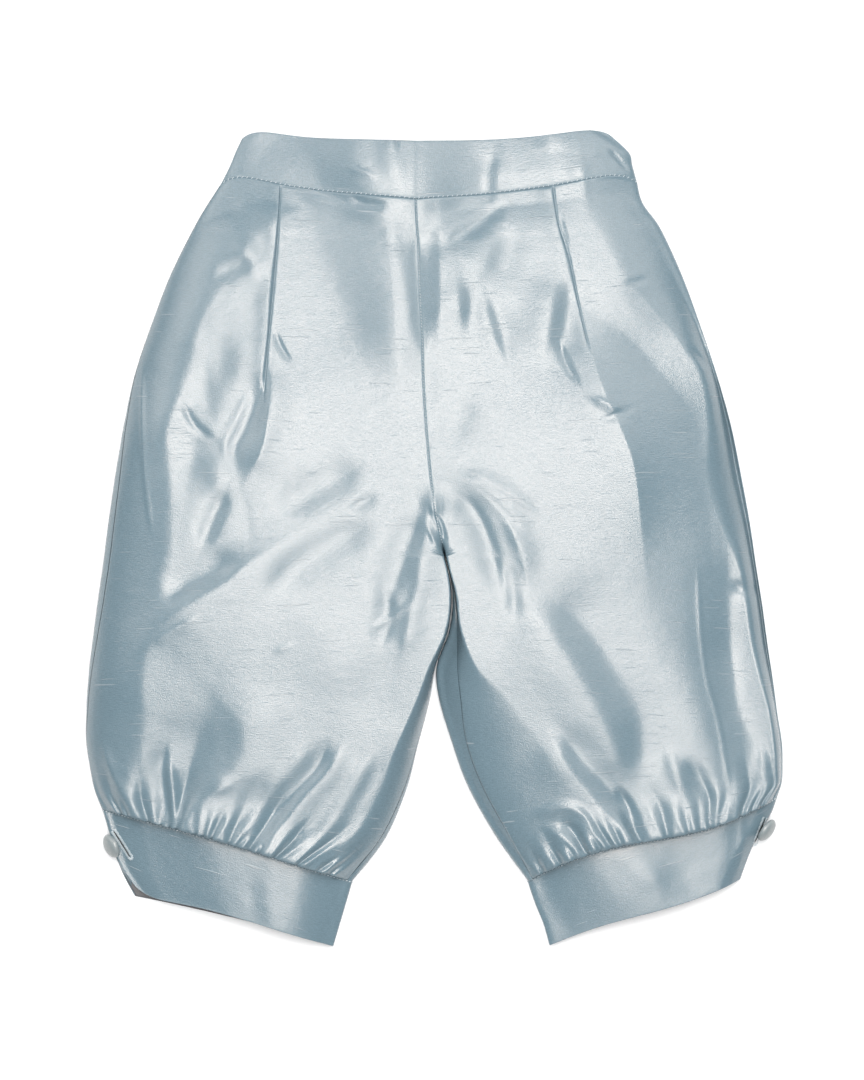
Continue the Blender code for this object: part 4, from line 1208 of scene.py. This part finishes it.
def make_buttonhole(side, points):
    """The worked edges of a buttonhole, and a dark spindle between them that paints the shade in its
    slit.
    """
    start, end = (np.array(place) for place in BUTTONHOLES[side])
    way = unit(end - start)
    beside = np.array((-way[1], way[0]))
    length = np.linalg.norm(end - start)
    sets = []
    for away in (-LIP_AWAY, LIP_AWAY):
        along = np.arange(0.0, length, LIP_PITCH)
        uneven = away * (1 + STITCH_WOBBLE * np.sin(along * LIP_WAVE + away))
        spots = start + along[:, None] * way + uneven[:, None] * beside
        sets.append(lie_on(points, spots, np.broadcast_to(beside, spots.shape)))
    turn = np.linspace(-math.pi / 2, math.pi / 2, BAR_STITCHES)
    fan = np.cos(turn)[:, None] * way + np.sin(turn)[:, None] * beside
    sets.append(lie_on(points, end + LIP_AWAY * fan, fan))
    thread_object("buttonhole_" + side, sets, THREAD, "band_silk")
    # A dark spindle along the slit is painted shade, standing in for the shadow inside the opening.
    spots = np.array([start + way * length * share for share in SLIT_SHARES])
    slit = lie_on(points, spots, np.broadcast_to(way, spots.shape), length / 2, SLIT_WIDTH)
    thread_object("slit_" + side, [slit], SLIT_SHADE, "band_silk")


# The buttons: the row of its cuff where each is sewn, how far its middle lies inside the
# cuff's outer end, and the way its face looks.
Button = namedtuple("Button", "side row inside face_x face_y face_z")
BUTTONS = [
    Button("right", 1.55, 1.8, -0.79, -0.36, 0.50),
    Button("left", 1.45, -0.6, 0.76, -0.57, 0.36),
]

# The form of a button. Its heart is the pinhole in the middle of its dome and of its back,
# BACK_RINGS lie inside the edge of the back, PLEAT_START keeps the pleats off the dome, and
# SEAT_ROWS is how much of the cuff's table, to each side, the button has to clear.
BUTTON_RADIUS = 8.0
BUTTON_THICKNESS = 5.5
BUTTON_RIM = 1.4
BUTTON_BACK = 6.8
BUTTON_COLUMNS = 72
BUTTON_PLEATS = 18
PLEAT_DEPTH = 0.16
BUTTON_HEART = 0.02
BACK_RINGS = (2.0, 4.0)
DOME_RINGS = 16
RIM_RINGS = 7
PLEAT_START = 0.3
SEAT_ROWS = 0.6
SEAT_TRIES = 7


def button_seat(spec):
    """Where the middle of a button's back sits, just clear of the fold of its cuff."""
    face = unit(np.array((spec.face_x, spec.face_y, spec.face_z)))
    level = unit(face[:2])
    reaches = []
    for row in np.linspace(spec.row - SEAT_ROWS, spec.row + SEAT_ROWS, SEAT_TRIES):
        place = smooth_row(CUFFS[spec.side], row)
        fold = np.array((place.outer_x, place.outer_y)) - EDGE_ROLL * level
        reaches.append(np.dot((*fold, EDGE_ROLL), face) + EDGE_ROLL)
    place = smooth_row(CUFFS[spec.side], spec.row)
    seat = np.array((place.outer_x, place.outer_y, 0.0))
    seat[:2] -= spec.inside * level
    seat[2] = (max(reaches) + SEAM_GAP - np.dot(seat, face)) / face[2]
    return seat, face


def button_rings():
    """The radius and height of each ring of a button, from the heart of its dome round its
    rim to the heart of its back."""
    dome = np.linspace(math.pi / 2, 0.0, DOME_RINGS)
    under = np.linspace(0.0, math.pi / 2, RIM_RINGS)[1:]
    back = BUTTON_BACK - np.array(BACK_RINGS)
    rim = BUTTON_BACK + (BUTTON_RADIUS - BUTTON_BACK) * np.cos(under)
    radii = np.concatenate((BUTTON_RADIUS * np.cos(dome), rim, back, [BUTTON_HEART]))
    radii[0] = BUTTON_HEART
    crown = BUTTON_RIM + (BUTTON_THICKNESS - BUTTON_RIM) * np.sin(dome)
    heights = np.concatenate((crown, BUTTON_RIM * (1 - np.sin(under)), np.zeros(len(back) + 1)))
    return radii, heights


def make_button(spec):
    """A domed button, its silk drawn together in small pleats under the rim."""
    radii, heights = button_rings()
    turn = np.arange(BUTTON_COLUMNS) / BUTTON_COLUMNS * 2 * math.pi
    puckered = smoothly((BUTTON_RADIUS - BUTTON_RIM - heights) / BUTTON_RADIUS - PLEAT_START)
    puckered *= radii > BUTTON_BACK
    pleat = PLEAT_DEPTH * puckered[:, None] * (np.cos(BUTTON_PLEATS * turn) - 1)
    across = (radii[:, None] + pleat)[..., None]
    seat, face = button_seat(spec)
    side = unit(np.cross(face, (0.0, 0.0, 1.0)))
    other = np.cross(face, side)
    round_face = np.cos(turn)[:, None] * side + np.sin(turn)[:, None] * other
    points = seat + heights[:, None, None] * face + across * round_face
    down = lengths_along(np.column_stack((radii, heights)))
    name = "covered_button_" + spec.side
    piece = sheet_object(name, points, turn * BUTTON_RADIUS, down, True, is_ring=True)
    dress(piece, BUTTON_SILK, "button_silk", "button_" + spec.side)


# The studio, in metres: a white table, soft panels overhead and at the sides, a faint light
# from all round, and a camera that looks straight down.
FLOOR_SIZE = 6.0
FLOOR_DROP = 0.0003
FLOOR_WHITE = (0.95, 0.95, 0.95, 1.0)
FLOOR_ROUGHNESS = 0.9
Panel = namedtuple("Panel", "name width depth place power")
PANELS = [
    Panel("overhead panel", 1.15, 2.0, (0.06, 0.25, 2.3), 47.5),
    Panel("overhead foot", 1.15, 0.55, (0.06, -1.03, 2.3), 6.5),
    Panel("overhead middle", 0.5, 1.0, (0.05, 0.32, 2.25), 10.5),
    Panel("side panel foot", 1.8, 0.7, (0.0, -1.75, 1.15), 5.5),
    Panel("side panel", 2.0, 2.0, (1.3, 1.5, 1.9), 32.0),
    Panel("side panel left", 1.6, 1.6, (-1.7, 1.2, 1.6), 23.0),
]
FILL = 0.045
FILL_COLOUR = (0.93, 0.96, 1.0, 1.0)
CAMERA_HEIGHT = 2.0
VIEW_CENTRE = (-0.0013, -0.0006)
VIEW_LENGTH = 0.6912
SENSOR = 36.0
SCALE_PLANE = 0.004


def make_floor():
    """The table that the breeches lie on."""
    material = bpy.data.materials.new("white table")
    material.use_nodes = True
    tree = material.node_tree
    sockets = {"Base Color": FLOOR_WHITE, "Roughness": FLOOR_ROUGHNESS, "Specular IOR Level": 0.0}
    connect(tree, tree.nodes["Principled BSDF"], sockets)
    bpy.ops.mesh.primitive_plane_add(size=FLOOR_SIZE, location=(0.0, 0.0, -FLOOR_DROP))
    floor = bpy.context.object
    floor.name = "table_top"
    floor.data.materials.append(material)


def make_lights():
    """The panels, those at the sides turned to the breeches, and the light from all round."""
    for panel in PANELS:
        light = bpy.data.lights.new(panel.name, "AREA")
        light.shape = "RECTANGLE"
        light.size = panel.width
        light.size_y = panel.depth
        light.energy = panel.power
        lamp = bpy.data.objects.new(panel.name.replace(" ", "_"), light)
        lamp.location = panel.place
        if panel.name.startswith("side"):
            lamp.rotation_euler = (-Vector(panel.place)).to_track_quat("-Z", "Y").to_euler()
        bpy.context.scene.collection.objects.link(lamp)
    world = bpy.data.worlds.new("studio")
    world.use_nodes = True
    tree = world.node_tree
    connect(tree, tree.nodes["Background"], {"Color": FILL_COLOUR, "Strength": FILL})
    bpy.context.scene.world = world
    bpy.context.scene.view_settings.view_transform = "Standard"


def make_camera():
    """A camera above the breeches whose view is VIEW_LENGTH metres high at SCALE_PLANE."""
    data = bpy.data.cameras.new("camera")
    data.sensor_width = SENSOR
    data.lens = SENSOR * CAMERA_HEIGHT / VIEW_LENGTH
    camera = bpy.data.objects.new("camera", data)
    camera.location = (*VIEW_CENTRE, SCALE_PLANE + CAMERA_HEIGHT)
    bpy.context.scene.collection.objects.link(camera)
    bpy.context.scene.camera = camera


make_legs()
make_bands()
make_centre_stitches()
for button in BUTTONS:
    make_button(button)
make_floor()
make_lights()
make_camera()
